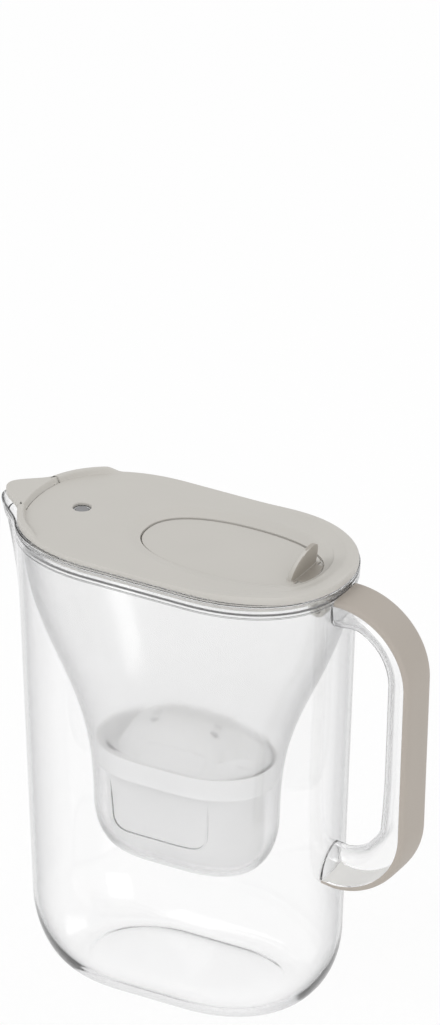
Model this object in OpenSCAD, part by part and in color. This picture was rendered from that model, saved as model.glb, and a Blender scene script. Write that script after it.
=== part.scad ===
// Water filter pitcher: a clear oval jug with a half-round handle, a funnel that hangs in it,
// a filter cartridge in the funnel's pocket, and a lid with a flip flap, a spout flap and a
// battery-powered change indicator. Millimetres; +X points to the handle and the spout is at -X.
// The origin is the middle of the jug's foot, on the table.

/* [Jug] */
// Height of the jug's rim above the table
jug_h = 258.5; // [245:0.5:270]
// Half length of the rim's oval, without spout and handle
rim_len = 95.2; // [92:0.2:99]
// Half width of the rim's oval
rim_wid = 54.5; // [52:0.1:58]
// Reach of each rounded end of the rim's oval
rim_end = 67; // [58:1:74]
// Wall of the jug
jug_wall = 2; // [1.6:0.1:2.4]
// Thickness of the jug's floor
jug_floor = 3; // [2:0.1:4.5]
// Height of the collar that stands round the rim
collar_h = 7.2; // [5:0.1:9]
// Wall of the collar
collar_wall = 1.8; // [1.4:0.1:2]
// How far the body stands in from the collar's outside
collar_step = 1.1; // [0.6:0.1:1.4]
// Narrowing of the half length from rim to foot
draft_len = 9; // [4:0.5:12]
// Narrowing of the half width from rim to foot
draft_wid = 3; // [1:0.5:6]
// Inward sweep of the foot's rounding along the length
foot_len = 24; // [16:1:30]
// Inward sweep of the foot's rounding across the width
foot_wid = 16; // [10:1:20]
// Height of the foot's rounding
foot_h = 40; // [28:1:46]

/* [Spout] */
// Reach of the spout past the oval, at the rim
spout_out = 15; // [9:0.5:18]
// Half width of the spout at the rim
spout_wid = 28; // [24:0.5:30]
// Height over which the spout blends into the body
spout_drop = 76; // [60:1:90]

/* [Handle] */
// Width of the handle across the grip
handle_wid = 24; // [20:0.5:28]
// Outermost reach of the grip from the jug's middle
handle_out = 139.3; // [134:0.5:150]
// Depth of the grip's top edge below the rim, where it meets the wall
grip_top = 8; // [7.6:0.1:10]
// Depth of the handle's lowest edge below the rim
handle_drop = 177; // [160:1:190]
// Radius of the handle's upper bend
bend_top = 44; // [34:1:46]
// Radius of the handle's lower bend
bend_low = 42; // [30:1:46]
// Thickness of the soft grip
grip_t = 3.8; // [2.5:0.1:5]
// Depth of the clear frame behind the grip
frame_t = 12.5; // [9:0.5:14]
// Depth of the clear frame at its lower root
root_t = 17.5; // [14:0.5:22]
// Extra depth of the clear frame at its upper root
boss_t = 3; // [0:0.5:4]

/* [Funnel] */
// Wall of the funnel
funnel_wall = 1.6; // [1.2:0.1:2]
// Depth of the funnel from its rim to the pocket's underside
funnel_depth = 186; // [180:0.5:192]
// Depth of the point where the funnel's side starts to curve in, above the rim
blend_lead = 10.4; // [6:0.2:14]
// Height over which the mouth turns into the pocket
blend_span = 169; // [160:1:174]
// Narrowing of the pocket from top to bottom
pocket_draft = 2.8; // [1:0.1:3.4]
// Inward sweep of the pocket's bottom rounding along the length
pocket_len = 14.5; // [10:0.5:16]
// Inward sweep of the pocket's bottom rounding across the width
pocket_wid = 15.5; // [10:0.5:17]
// Height of the pocket's bottom rounding
pocket_h = 28; // [18:1:30]
// Height of the ribs that the cartridge stands on
rib_h = 2.7; // [2.4:0.1:6]
// Width of the drain slots in the pocket's floor
drain_w = 3.4; // [2:0.1:3.8]

/* [Cartridge] */
// Half length of the cartridge's rim
cart_len = 50.8; // [49:0.1:51.2]
// Half width of the cartridge's rim
cart_wid = 30.5; // [29:0.1:31]
// Reach of each rounded end of the cartridge's rim
cart_end = 40; // [30:1:44]
// Height of the cartridge from its bottom to its rim
cart_h = 60.7; // [56:0.1:62]
// Gap between the rim's skirt and the body
skirt_in = 4; // [3:0.1:5]
// Height of the rim's skirt
skirt_h = 12.5; // [8:0.5:16]
// Wall of the cartridge
cart_wall = 1.3; // [1:0.1:1.6]
// Height of the dome above the rim
dome_h = 20; // [12:0.5:24]
// Rounding of the body's bottom edge
cart_round = 8; // [6:0.5:10]
// Narrowing of the body from top to bottom
cart_draft = 2.2; // [1:0.1:3]

/* [Lid] */
// How far the lid's edge stands in from the jug's rim
lid_inset = 1; // [0.6:0.1:1.4]
// Height of the lid's top above the funnel's rim
lid_h = 2.5; // [2.4:0.1:3.4]
// Thickness of the lid's cover
cover_t = 1.6; // [1.4:0.1:1.8]
// Extra height of the lip round the spout end
lip_h = 3; // [0:0.1:3.4]
// Extra height of the lid's edge at the handle end
rear_h = 2; // [0:0.1:2.2]
// Depth of the skirt that reaches down into the funnel
skirt_drop = 4.3; // [3:0.1:4.8]
// Play between the lid's skirt and the funnel
lid_play = 0.4; // [0.3:0.05:0.6]
// Reach of the two rear hooks below the lid
hook_drop = 17.3; // [15:0.1:18]
// Distance of the hooks' middle from the jug's rim at the handle end
hook_in = 12.6; // [12.6:0.1:14]

/* [Flip flap] */
// Half length of the flip flap
flap_len = 50.5; // [44:0.5:52]
// Half width of the flip flap
flap_wid = 27; // [22:0.5:29]
// Distance of the flap's rear end from the jug's rim at the handle end
flap_in = 17.7; // [17.7:0.1:20]
// Thickness of the flap
flap_t = 2; // [1.6:0.1:2.4]
// Gap round the flap
flap_gap = 0.8; // [0.5:0.1:1]
// Depth of the flap's dish below the lid's top
dish_depth = 2.6; // [2:0.1:2.8]
// Width of the dish's sloped border
dish_w = 8; // [5:0.5:10]
// Height of the thumb fin above the flap
fin_h = 16.5; // [10:0.5:18]
// Half width of the thumb fin at its foot
fin_wid = 13; // [10:0.5:14]

/* [Spout flap] */
// Half width of the spout flap
pour_wid = 17.4; // [15:0.2:18.6]
// Distance of the spout flap's hinge from the lid's spout end
pour_in = 6.2; // [5.8:0.1:6.6]
// Thickness of the spout flap
pour_t = 1.8; // [1.5:0.1:1.8]
// Radius of the small hinge pins on both flaps
pin_r = 1; // [0.8:0.05:1.1]
// Radial running clearance of the hinge pins
pin_play = 0.06; // [0.03:0.01:0.08]

/* [Indicator] */
// Distance of the indicator's middle from the jug's rim at the spout end
ind_in = 32.4; // [31.2:0.2:35.2]
// Radius of the indicator's housing at its foot
ind_r = 16.8; // [16:0.1:17.6]
// Height of the indicator's housing
ind_h = 22; // [21:0.5:24]
// Wall of the indicator's housing
ind_wall = 1.3; // [1:0.1:1.5]
// Radius of the button
button_r = 3.6; // [3:0.1:4]
// Travel of the button
button_travel = 0.5; // [0.2:0.1:0.6]
// Radius of the window in the lid over the button
window_r = 4.9; // [4.5:0.1:6]
// Radius of the coin cell
cell_r = 10; // [8:0.1:10.2]
// Height of the coin cell
cell_h = 3.2; // [2:0.1:3.4]

/* [Fits] */
// Gap between the funnel's collar and the jug's collar
funnel_play = 0.3; // [0.2:0.05:0.5]
// How far the funnel's rim stands above the jug's rim
funnel_proud = 0.3; // [0.2:0.05:0.6]
// Gap round the cartridge's rim in the pocket
cart_play = 0.45; // [0.3:0.05:0.8]
// General gap between pieces that lie close
near_gap = 0.3; // [0.2:0.05:0.4]

/* [Hidden] */

clear_plastic = [0.86, 0.89, 0.91, 0.45];
frosted_plastic = [0.82, 0.84, 0.86, 0.6];
white_plastic = [0.9, 0.91, 0.92, 0.9];
lid_grey = [0.78, 0.77, 0.75];
grip_taupe = [0.63, 0.6, 0.56];

// Exponent of the superellipse that all the ovals share
oval_p = 2.2;
// Exponent of the flip flap's outline, which is one superellipse
flap_p = 2.3;
jug_seg = 60;
funnel_seg = 48;
cart_seg = 40;
lid_seg = 56;

// ---- shared shapes ----

// Point i of n on an oval: two superellipse ends of reach e, joined by straight sides
function oval_point(i, n, a, b, e, p) =
    let(t = 360 * i / n, c = cos(t), s = sin(t))
    [sign(c) * (pow(abs(c), 2 / p) * e + a - e), sign(s) * pow(abs(s), 2 / p) * b];
// A level oval of half length a and half width b, at height z
function oval(n, a, b, e, z, x = 0, p = oval_p) =
    [for (i = [0:n - 1]) let(q = oval_point(i, n, a, b, e, p)) [q[0] + x, q[1], z]];
// Smooth step from 0 to 1
function ease(t) = let(u = min(max(t, 0), 1)) u * u * (3 - 2 * u);

// One closed solid through a stack of rings that starts outside at the bottom.
// As a tube it joins the last ring to the first; otherwise both ends are capped. Folded caps
// pair each point with the one across the ring, so an end can follow a curved wall.
module skin(rings, tube = false, folded = false) {
    n = len(rings[0]);
    m = len(rings);
    last = (m - 1) * n;
    sides = [for (k = [0:tube ? m - 1 : m - 2], i = [0:n - 1])
        let(j = (i + 1) % n, a = k * n, b = ((k + 1) % m) * n)
        each [[a + i, b + j, a + j], [a + i, b + i, b + j]]];
    folds = [for (i = [0:n / 2 - 1]) let(j = (n - i) % n, k = n - i - 1)
        each i == 0 ? [[0, 1, k]] : i == k - 1 ? [[i, k, j]] : [[i, i + 1, k], [i, k, j]]];
    caps = tube ? [] : folded ? concat(folds, [for (f = folds) [last + f[2], last + f[1], last + f[0]]])
        : [[for (i = [0:n - 1]) i], [for (i = [n - 1:-1:0]) last + i]];
    polyhedron(points = [for (r = rings) each r], faces = concat(sides, caps));
}

// ---- jug ----

// Inward sweep and height share of the foot's rounding at angle t
function foot_in(t) = 1 - cos(t);
function foot_up(t) = 1 - sin(t);
// Outward reach of the spout at half width y and height z
function spout_at(y, z) =
    abs(y) >= spout_wid || z <= jug_h - spout_drop ? 0 :
    spout_out * pow(cos(90 * y / spout_wid), 2) * pow(1 - (jug_h - z) / spout_drop, 1.2);
// Ring of the jug at height z, inset by d, with the foot's rounding f from 0 to 1
function jug_ring(z, d, f = 0) =
    let(t = (jug_h - z) / jug_h,
        a = rim_len - d - t * draft_len - f * foot_len,
        b = rim_wid - d - t * draft_wid - f * foot_wid,
        e = rim_end - d - f * foot_len)
    [for (i = [0:jug_seg - 1]) let(q = oval_point(i, jug_seg, a, b, min(e, a), oval_p))
        [q[0] - (q[0] < 0 ? spout_at(q[1], z) : 0), q[1], z]];
// Outer half length of the body at height z, above the foot's rounding
function body_len(z) = rim_len - collar_step - (jug_h - z) / jug_h * draft_len;
// Outer x of the body's handle end at height z and half width y
function wall_x(y, z) =
    let(b = rim_wid - collar_step - (jug_h - z) / jug_h * draft_wid, e = rim_end - collar_step)
    body_len(z) - e + e * pow(1 - pow(abs(y) / b, oval_p), 1 / oval_p);

ledge_z = jug_h - collar_h;
wall_levels = [for (k = [0:6]) ledge_z - 2 - k * (spout_drop - collar_h) / 6];

module jug_body() {
    step_in = collar_step;
    inner = collar_step + jug_wall;
    color(clear_plastic)
    skin(concat(
        [for (t = [90:-10:0]) jug_ring(foot_h * foot_up(t), step_in, foot_in(t))],
        [for (k = [6:-1:0]) jug_ring(wall_levels[k], step_in)],
        [jug_ring(ledge_z - 0.6, step_in), jug_ring(ledge_z, 0), jug_ring(jug_h, 0),
         jug_ring(jug_h, collar_wall), jug_ring(ledge_z, collar_wall), jug_ring(ledge_z, inner)],
        [for (z = wall_levels) jug_ring(z, inner)],
        [for (t = [0:10:90])
            jug_ring(jug_floor + (foot_h - jug_floor) * foot_up(t), inner, foot_in(t))]));
}

// ---- handle ----

// The handle's outer line, in X and Z: straight out from the wall, round a bend, down,
// round the lower bend and back in to the wall. Each row is [x, z, normal angle].
grip_z = jug_h - grip_top + grip_t;
low_z = jug_h - handle_drop;
line_n = 9;
out_top = handle_out;
lean = 2.6;
function lerp(a, b, t) = a + (b - a) * t;
handle_line = concat(
    [[wall_x(0, grip_z - grip_t), grip_z, 90]],
    [for (k = [1:line_n]) let(t = 90 - 90 * k / line_n)
        [out_top - bend_top + bend_top * cos(t), grip_z - bend_top + bend_top * sin(t), t]],
    [for (k = [1:4]) let(s = k / 5)
        [out_top - lean * s, lerp(grip_z - bend_top, low_z + bend_low, s), 0]],
    [for (k = [0:line_n]) let(t = -90 * k / line_n)
        [out_top - lean - bend_low + bend_low * cos(t), low_z + bend_low + bend_low * sin(t), t]],
    [for (k = [1:2]) [lerp(out_top - lean - bend_low, body_len(low_z), k / 3), low_z + k, -90]]);
line_len = len(handle_line);

// A point at depth d inside the handle's outer line, at half width y
function handle_point(k, d, y) =
    let(h = handle_line[k]) [h[0] - d * cos(h[2]), y, h[1] - d * sin(h[2])];
// Depth of the clear frame at step k: even down the grip, deeper at both roots
function frame_depth(k) =
    frame_t + (root_t - frame_t) * ease((k - line_len * 0.46) / (line_len * 0.23))
    + boss_t * ease(1 - k / 2.5);
// Thickness of the grip at step k: it thins towards the lower end
function grip_depth(k) = grip_t * (1 - 0.3 * ease((k - line_len * 0.7) / (line_len * 0.3)));
// Half section of the frame: straight sides and a round inner edge, rounder at the lower root
frame_seg = 12;
function frame_power(k) = 3 - ease((k - line_len * 0.54) / (line_len * 0.35));
function frame_ring(k) =
    let(p = 2 / frame_power(k))
    [for (i = [0:frame_seg]) let(t = 180 - 180 * i / frame_seg, c = cos(t))
        handle_point(k, grip_depth(k) + frame_depth(k) * pow(sin(t), p),
            handle_wid / 2 * sign(c) * pow(abs(c), p))];
// Section of the grip: flat on the frame, with rounded outer edges
grip_seg = 8;
function grip_ring(k) =
    [for (i = [0:2 * grip_seg - 1]) let(t = 180 * i / grip_seg)
        handle_point(k, grip_depth(k) * (i > grip_seg ? 1 : 1 - pow(sin(t), 0.5)),
            handle_wid / 2 * sign(cos(t)) * pow(abs(cos(t)), 0.4))];
// The end rings run on into the wall by the weld's depth
weld = 1;
function into_wall(ring) = [for (q = ring) [wall_x(q[1], q[2]) - weld, q[1], q[2]]];
// The grip's upper end meets the collar, its lower end the wall
function onto_wall(ring, step) = [for (q = ring) [wall_x(q[1], q[2]) + step + near_gap, q[1], q[2]]];

module handle_frame() {
    rings = [for (k = [1:line_len - 1]) frame_ring(k)];
    color(clear_plastic)
    skin(concat([into_wall(frame_ring(0))], rings, [into_wall(frame_ring(line_len - 1))]));
}

module handle_grip() {
    rings = [for (k = [1:line_len - 1]) grip_ring(k)];
    color(grip_taupe)
    skin(concat([onto_wall(grip_ring(0), collar_step)], rings,
        [onto_wall(grip_ring(line_len - 1), 0)]), folded = true);
}

// ---- funnel ----

rim_z = jug_h + funnel_proud;
collar_in = collar_wall + funnel_play;
neck_in = collar_step + jug_wall + funnel_play + 0.1;
// Share of the mouth's size that is left at depth d below the funnel's rim
function mouth_share(d) =
    let(t = min(1, (d + blend_lead) / blend_span), w = t * t) 1 - w / (w + (1 - t) * (1 - t));
function pocket_in(d) = pocket_draft * d / funnel_depth;
// The pocket is sized where the skirt of the cartridge's rim ends, at depth fit_d
floor_depth = funnel_depth - funnel_wall;
fit_d = floor_depth - rib_h - cart_h + skirt_h;
function pocket_size(cart, mouth, k) =
    (cart + cart_play + funnel_wall + k * pocket_in(fit_d) - (mouth - neck_in) * mouth_share(fit_d))
    / (1 - mouth_share(fit_d));
pocket_a = pocket_size(cart_len, rim_len, 1);
pocket_b = pocket_size(cart_wid, rim_wid, 0.6);
pocket_e = pocket_size(cart_end, rim_end, 1);
// Ring of the funnel at depth d, inset by w, with the pocket's bottom rounding f
function funnel_ring(d, w, f = 0) =
    let(s = mouth_share(d),
        n = pocket_in(d),
        a = pocket_a + (rim_len - neck_in - pocket_a) * s - n - f * pocket_len - w,
        b = pocket_b + (rim_wid - neck_in - pocket_b) * s - n * 0.6 - f * pocket_wid - w,
        e = pocket_e + (rim_end - neck_in - pocket_e) * s - n - f * pocket_len - w)
    oval(funnel_seg, a, b, min(e, a), rim_z - d);
function collar_ring(z, d) = oval(funnel_seg, rim_len - d, rim_wid - d, rim_end - d, z);
collar_depth = collar_h + funnel_proud;
step_z = ledge_z + 2;
funnel_levels = concat([for (d = [collar_depth + 6:10:140]) d], [funnel_depth - pocket_h]);
cart_rim_z = rim_z - floor_depth + rib_h + cart_h;

module funnel_shell() {
    skin(concat(
        [for (t = [90:-11.25:0]) funnel_ring(funnel_depth - pocket_h * foot_up(t), 0, foot_in(t))],
        [for (k = [len(funnel_levels) - 2:-1:0]) funnel_ring(funnel_levels[k], 0)],
        [funnel_ring(collar_depth, 0), collar_ring(ledge_z, collar_in), collar_ring(rim_z, collar_in),
         collar_ring(rim_z, collar_in + funnel_wall), collar_ring(step_z, collar_in + funnel_wall),
         funnel_ring(collar_depth - 0.6, funnel_wall)],
        [for (d = funnel_levels) funnel_ring(d, funnel_wall)],
        [for (t = [11.25:11.25:90])
            funnel_ring(floor_depth - (pocket_h - funnel_wall) * foot_up(t), funnel_wall, foot_in(t))]));
}

module funnel() {
    drain_gap = 9;
    drain_len = 20;
    rib_t = 2;
    rib_len = 34;
    color(frosted_plastic)
    difference() {
        union() {
            funnel_shell();
            for (i = [-1.5, -0.5, 0.5, 1.5])
                translate([i * drain_gap - rib_t / 2, -rib_len / 4, rim_z - funnel_depth + 0.4])
                cube([rib_t, rib_len / 2, funnel_wall + rib_h - 0.4]);
        }
        for (i = [-1:1])
            translate([i * drain_gap - drain_w / 2, -drain_len / 2, rim_z - funnel_depth - 1])
            cube([drain_w, drain_len, funnel_wall + 2]);
    }
}

// ---- cartridge ----

function cart_oval(z, d) = oval(cart_seg, cart_len - d, cart_wid - d, cart_end - d, cart_rim_z + z);
// Ring of the body at height z below the rim, inset by w, with the bottom edge's rounding t
function body_ring(z, w, t = 0) =
    cart_oval(z, skirt_in + cart_wall + w - cart_draft * z / cart_h + cart_round * foot_in(t));
deck_z = -1.4;
cap_in = cart_wall + 0.1;
mesh_t = 0.6;
media_top = deck_z - 6;

module cartridge_cup() {
    outlet_w = 2.4;
    outlet_len = 16;
    outlet_step = 8;
    color(white_plastic)
    difference() {
        skin(concat(
            [for (t = [90:-15:0]) body_ring(-cart_h + cart_round * foot_up(t), 0, t)],
            [body_ring(deck_z - cart_wall, 0), cart_oval(deck_z - cart_wall, cart_wall),
             cart_oval(-skirt_h, cart_wall), cart_oval(-skirt_h, 0), cart_oval(0, 0),
             cart_oval(0, cart_wall), cart_oval(deck_z, cart_wall), body_ring(deck_z, cart_wall)],
            [for (t = [0:15:90])
                body_ring(-cart_h + cart_wall + (cart_round - cart_wall) * foot_up(t), cart_wall, t)]));
        for (i = [-3:3])
            translate([i * outlet_step - outlet_w / 2, -outlet_len / 2, cart_rim_z - cart_h - 1])
            cube([outlet_w, outlet_len, cart_wall + 2]);
    }
}

// Ring of the dome: long sides that rise steeply to a rounded crown, a little towards the handle
dome_x = 6.8;
dome_len = 38.9;
dome_wid = 23;
dome_end = 31;
crown_len = 10;
crown_wid = 6;
function dome_ring(t, w) =
    let(s = cos(t), h = (dome_h - w) * sin(t))
    oval(cart_seg, lerp(crown_len, dome_len, s) - w, lerp(crown_wid, dome_wid, s) - w,
        lerp(crown_len - 2, dome_end, s) - w, cart_rim_z + deck_z + cart_wall + h, dome_x);

module cartridge_cap() {
    slot_w = 2;
    slot_len = 8;
    slot_y = 5;
    slot_z = 8;
    plate_z = deck_z + cart_wall;
    lip_in = cart_wall + 0.1;
    lip_z = media_top + mesh_t + 0.2;
    color(white_plastic)
    difference() {
        skin(concat(
            [for (t = [80:-16:0]) dome_ring(t, cart_wall)],
            [body_ring(deck_z, lip_in + 1.4), body_ring(lip_z, lip_in + 1.4),
             body_ring(lip_z, lip_in), body_ring(deck_z, lip_in),
             cart_oval(deck_z, cap_in), cart_oval(plate_z, cap_in)],
            [for (t = [0:10:80]) dome_ring(t, 0)]));
        for (x = [-18, -4, 10], s = [-1, 1])
            translate([dome_x + x, s * slot_y - slot_w / 2, cart_rim_z + slot_z])
            cube([slot_len, slot_w, dome_h]);
    }
}

module cartridge_granules() {
    color([0.25, 0.24, 0.23])
    skin(concat(
        [for (t = [90:-15:0])
            body_ring(-cart_h + cart_wall + mesh_t + 0.1 + (cart_round - cart_wall) * foot_up(t),
                cart_wall + near_gap, t)],
        [body_ring(media_top, cart_wall + near_gap)]));
}

module cartridge_top_mesh() {
    color([0.93, 0.93, 0.92])
    skin([body_ring(media_top, cart_wall + near_gap), body_ring(media_top + mesh_t, cart_wall + near_gap)]);
}

module cartridge_bottom_mesh() {
    z = -cart_h + cart_wall;
    edge = cart_wall + cart_round + 0.6;
    color([0.93, 0.93, 0.92])
    skin([body_ring(z, edge), body_ring(z + mesh_t, edge)]);
}

// ---- lid ----

lid_z = rim_z;
lid_top = lid_z + lid_h;
pour_x = rim_len - lid_inset - pour_in;
flap_x = rim_len - flap_in - flap_len;
ind_x = rim_len - ind_in;
function lid_ring(z, d) =
    let(g = lid_inset + d) oval(lid_seg, rim_len - g, rim_wid - g, rim_end - g, z);
// Half length of the lid's edge at half width y, inset by d
function lid_x(y, d) =
    let(g = lid_inset + d, e = rim_end - g)
    rim_len - g - e + e * pow(1 - pow(abs(y) / (rim_wid - g), oval_p), 1 / oval_p);
// The lid's edge: k is the share of the raised lip at the spout and of the rise at the handle
function lip_ring(z, d, k) = [for (q = lid_ring(z, d))
    [q[0], q[1], z + k * (lip_h * ease((-64 - q[0]) / 8) + rear_h * ease((q[0] - 10) / 60))]];
skirt_out = collar_in + funnel_wall + lid_play - lid_inset;
skirt_in_d = skirt_out + 1.5;
cover_z = lid_top - cover_t;
// Ring round the flip flap at distance d from its edge
function flap_ring(z, d) = oval(lid_seg, flap_len + d, flap_wid + d, flap_len + d, z, flap_x, flap_p);
dish_z = lid_top - dish_depth;
dish_steps = [1, 0.75, 0.5, 0.25, 0];

// The spout flap's seam: an arc that bows towards the spout
seam_bow = 2.3;
seam_end = pour_x - 1.8;
seam_r = (pour_wid * pour_wid + seam_bow * seam_bow) / (2 * seam_bow);
seam_x = seam_r - seam_end - seam_bow;
pour_axis_z = lid_top - 0.4;
knuckle_r = pin_r + 0.3;
knuckle_len = 3.4;
shelf_z = lid_z - 0.4;

// Hinge pins of a flap: one stub on each side, from half width y0 to y1
module pins(x, z, r, y0, y1)
    for (s = [-1, 1]) translate([x, s * (y0 + y1) / 2, z]) rotate([90, 0, 0])
        cylinder(r = r, h = y1 - y0, center = true, $fn = 48);

flip_x = flap_x + flap_len - 2.3;
flip_z = dish_z - flap_t / 2 - 0.3;
flip_knuckle = 9.4;
flip_pin_end = flip_knuckle + 5.8;

module lid_cover() {
    boss = [4.4, 6, 3];
    ear_r = pin_r + 0.6;
    ear_w = 3.4;
    socket_r = ind_r - 0.5;
    socket_h = 6.8;
    color(lid_grey)
    difference() {
        union() {
            difference() {
                skin(concat(
                    [for (s = [0, 0.25, 0.5, 0.75, 1])
                        flap_ring(dish_z - cover_t + dish_depth * ease(s), flap_gap + dish_w * s)],
                    [lid_ring(cover_z, skirt_out - near_gap), lid_ring(lid_z, skirt_out - near_gap),
                     lid_ring(lid_z, 0.2), lid_ring(lid_z + 0.3, 0), lip_ring(lid_z + 0.6, 0.1, 1),
                     lip_ring(lid_top - 1, 1.8, 1), lip_ring(lid_top - 0.4, 3.4, 1),
                     lip_ring(lid_top, 5.6, 0.9), lip_ring(lid_top, 8, 0.4), lid_ring(lid_top, 12)],
                    [for (s = dish_steps)
                        flap_ring(dish_z + dish_depth * ease(s), flap_gap + dish_w * s)]), tube = true);
                // The seam of the spout flap
                difference() {
                    translate([-rim_len - spout_out, -pour_wid - near_gap, lid_z - 1])
                    cube([rim_len + spout_out - pour_x + 8, 2 * (pour_wid + near_gap), lid_h + 4]);
                    translate([seam_x, 0, lid_z - 2])
                    cylinder(r = seam_r, h = lid_h + 6, $fn = 96);
                }
                pins(-pour_x, pour_axis_z, knuckle_r + 0.4, pour_wid - knuckle_len - 0.4, pour_wid + near_gap);
            }
            // Bosses that hold the hinge pins
            for (s = [-1, 1]) {
                translate([flip_x - boss[0] / 2, s > 0 ? flip_knuckle + 0.6 : -flip_knuckle - 0.6 - boss[1],
                    flip_z - boss[2] / 2 - 0.6])
                cube([boss[0], boss[1], boss[2] - 0.1]);
                translate([-pour_x - ear_r, s > 0 ? pour_wid + near_gap : -pour_wid - near_gap - ear_w,
                    lid_z])
                cube([2 * ear_r, ear_w, pour_axis_z - lid_z]);
            }
            pins(-pour_x, pour_axis_z, ear_r, pour_wid + near_gap, pour_wid + near_gap + ear_w);
            // Socket that the indicator plugs into
            translate([-ind_x, 0, cover_z - socket_h])
            difference() {
                cylinder(r = socket_r + 1.4, h = socket_h + 0.4, $fn = 96);
                translate([0, 0, -1])
                cylinder(r = socket_r, h = socket_h + 1, $fn = 96);
            }
        }
        translate([0, 0, lid_z - 10])
        linear_extrude(height = lid_h + 20)
        polygon([for (q = flap_ring(0, flap_gap)) [q[0], q[1]]]);
        translate([-ind_x, 0, lid_z])
        cylinder(r = window_r, h = lid_h + 4, $fn = 64);
        pins(flip_x, flip_z, pin_r + pin_play, flip_knuckle, flip_pin_end + near_gap);
        pins(-pour_x, pour_axis_z, pin_r + pin_play, pour_wid - 1, pour_wid + near_gap + 2.8);
    }
}

module lid_frame() {
    skirt_z = lid_z - skirt_drop;
    flange_in = skirt_in_d + 2.4;
    arm_z = lid_z - 4;
    arm_t = 1.8;
    hook_w = 5;
    hook_y = 8.3;
    hook_x = rim_len - hook_in;
    hook_r = 4.4;
    hook_t = 1.8;
    hook_z = lid_z - hook_drop + hook_r;
    color(lid_grey)
    difference() {
        union() {
            skin([lid_ring(skirt_z, skirt_in_d), lid_ring(skirt_z, skirt_out), lid_ring(cover_z, skirt_out),
                lid_ring(cover_z, flange_in), lid_ring(cover_z - 1.2, flange_in),
                lid_ring(cover_z - 1.2, skirt_in_d)], tube = true);
            // Two open hooks that reach into the funnel's rear end
            for (s = [-1, 1])
                translate([hook_x, s * hook_y, hook_z]) rotate([90, 0, 0])
                difference() {
                    union() {
                        cylinder(r = hook_r, h = hook_w, center = true, $fn = 48);
                        translate([hook_r - hook_t, 0, -hook_w / 2])
                        cube([hook_t, arm_z + arm_t - hook_z, hook_w]);
                        translate([hook_r - hook_t, arm_z - hook_z, -hook_w / 2])
                        cube([lid_x(hook_y, skirt_in_d) - hook_x - hook_r + hook_t + 0.4, arm_t, hook_w]);
                    }
                    cylinder(r = hook_r - hook_t, h = hook_w + 2, center = true, $fn = 48);
                    translate([-hook_r - 1, 0, -hook_w])
                    cube([hook_r + 1, hook_r + 1, 2 * hook_w]);
                }
        }
        // The spout end stays low under the spout flap
        translate([-rim_len, -pour_wid - 4, shelf_z])
        cube([rim_len - pour_x + 6, 2 * (pour_wid + 4), lid_h]);
    }
}

module flip_flap() {
    fin_x = flip_x - 7;
    fin_lean = 5.8;
    fin_foot = 5;
    fin_tip = 2.4;
    plate = [for (q = flap_ring(0, 0)) [q[0], q[1]]];
    relief = 3.4;
    color(lid_grey)
    union() {
        translate([0, 0, dish_z - flap_t])
        linear_extrude(height = flap_t)
        difference() {
            polygon(plate);
            // Relief beside the hinge, so that the flap's edge clears the cover as it opens
            for (s = [-1, 1])
                translate([flip_x - relief, s > 0 ? flip_knuckle + 0.6 : -flip_knuckle - 0.6 - flap_wid])
                square([relief + 10, flap_wid]);
        }
        skin([for (s = [0:0.125:1]) let(u = sin(90 * s))
            oval(24, lerp(fin_foot, fin_tip, u) / 2, fin_wid * sqrt(1 - pow(u * 0.985, 2)),
                lerp(fin_foot, fin_tip, u) / 2, dish_z - 0.4 + (fin_h + 0.4) * u,
                fin_x + fin_lean * pow(u, 1.3))]);
        pins(flip_x, flip_z, pin_r, 6, flip_pin_end);
        translate([flip_x, 0, flip_z]) rotate([90, 0, 0])
        cylinder(r = knuckle_r, h = 2 * flip_knuckle - 2, center = true, $fn = 48);
    }
}

module spout_flap() {
    edge_n = 20;
    rim_play = 1.2;
    pad_x = lid_x(0, 0) + 0.8;
    outline = [for (i = [0:edge_n]) let(y = pour_wid * (1 - 2 * i / edge_n))
        [-lid_x(y, 0) - (spout_out - rim_play) * pow(cos(90 * y / (pour_wid + 1.6)), 2), y]];
    inner = [for (i = [0:edge_n]) let(y = pour_wid * (2 * i / edge_n - 1), r = seam_r + 0.5)
        [seam_x - sqrt(r * r - y * y), y]];
    color(lid_grey)
    union() {
        translate([0, 0, lid_top - near_gap - pour_t])
        linear_extrude(height = pour_t)
        polygon(concat(outline, inner));
        translate([0, 0, lid_z])
        linear_extrude(height = lid_h - near_gap - pour_t + 0.2)
        intersection() {
            polygon(concat(outline, inner));
            translate([-rim_len - spout_out - 5, -rim_wid])
            square([rim_len + spout_out + 5 - pad_x, 2 * rim_wid]);
        }
        pins(-pour_x, pour_axis_z, pin_r, pour_wid - knuckle_len, pour_wid + near_gap + 2.4);
        pins(-pour_x, pour_axis_z, knuckle_r, pour_wid - knuckle_len, pour_wid);
    }
}

// ---- indicator ----

ind_top = cover_z - near_gap;
ind_z = ind_top - ind_h;
ind_taper = 1.2;
ind_inner = ind_r - ind_taper - ind_wall;
base_t = 1.8;
seat_r = ind_r - 1.5;
top_t = 1.4;
clip_t = 0.4;
cell_z = base_t + 0.9 + clip_t;
board_t = 1;
board_z = cell_z + cell_h + 0.2;
board_top = board_z + board_t;
switch_h = 3.4;
plunger_h = 0.8;
post_r = 1.3;
post_at = ind_inner - 2.6;

module at_indicator() translate([-ind_x, 0, ind_z]) children();

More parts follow.
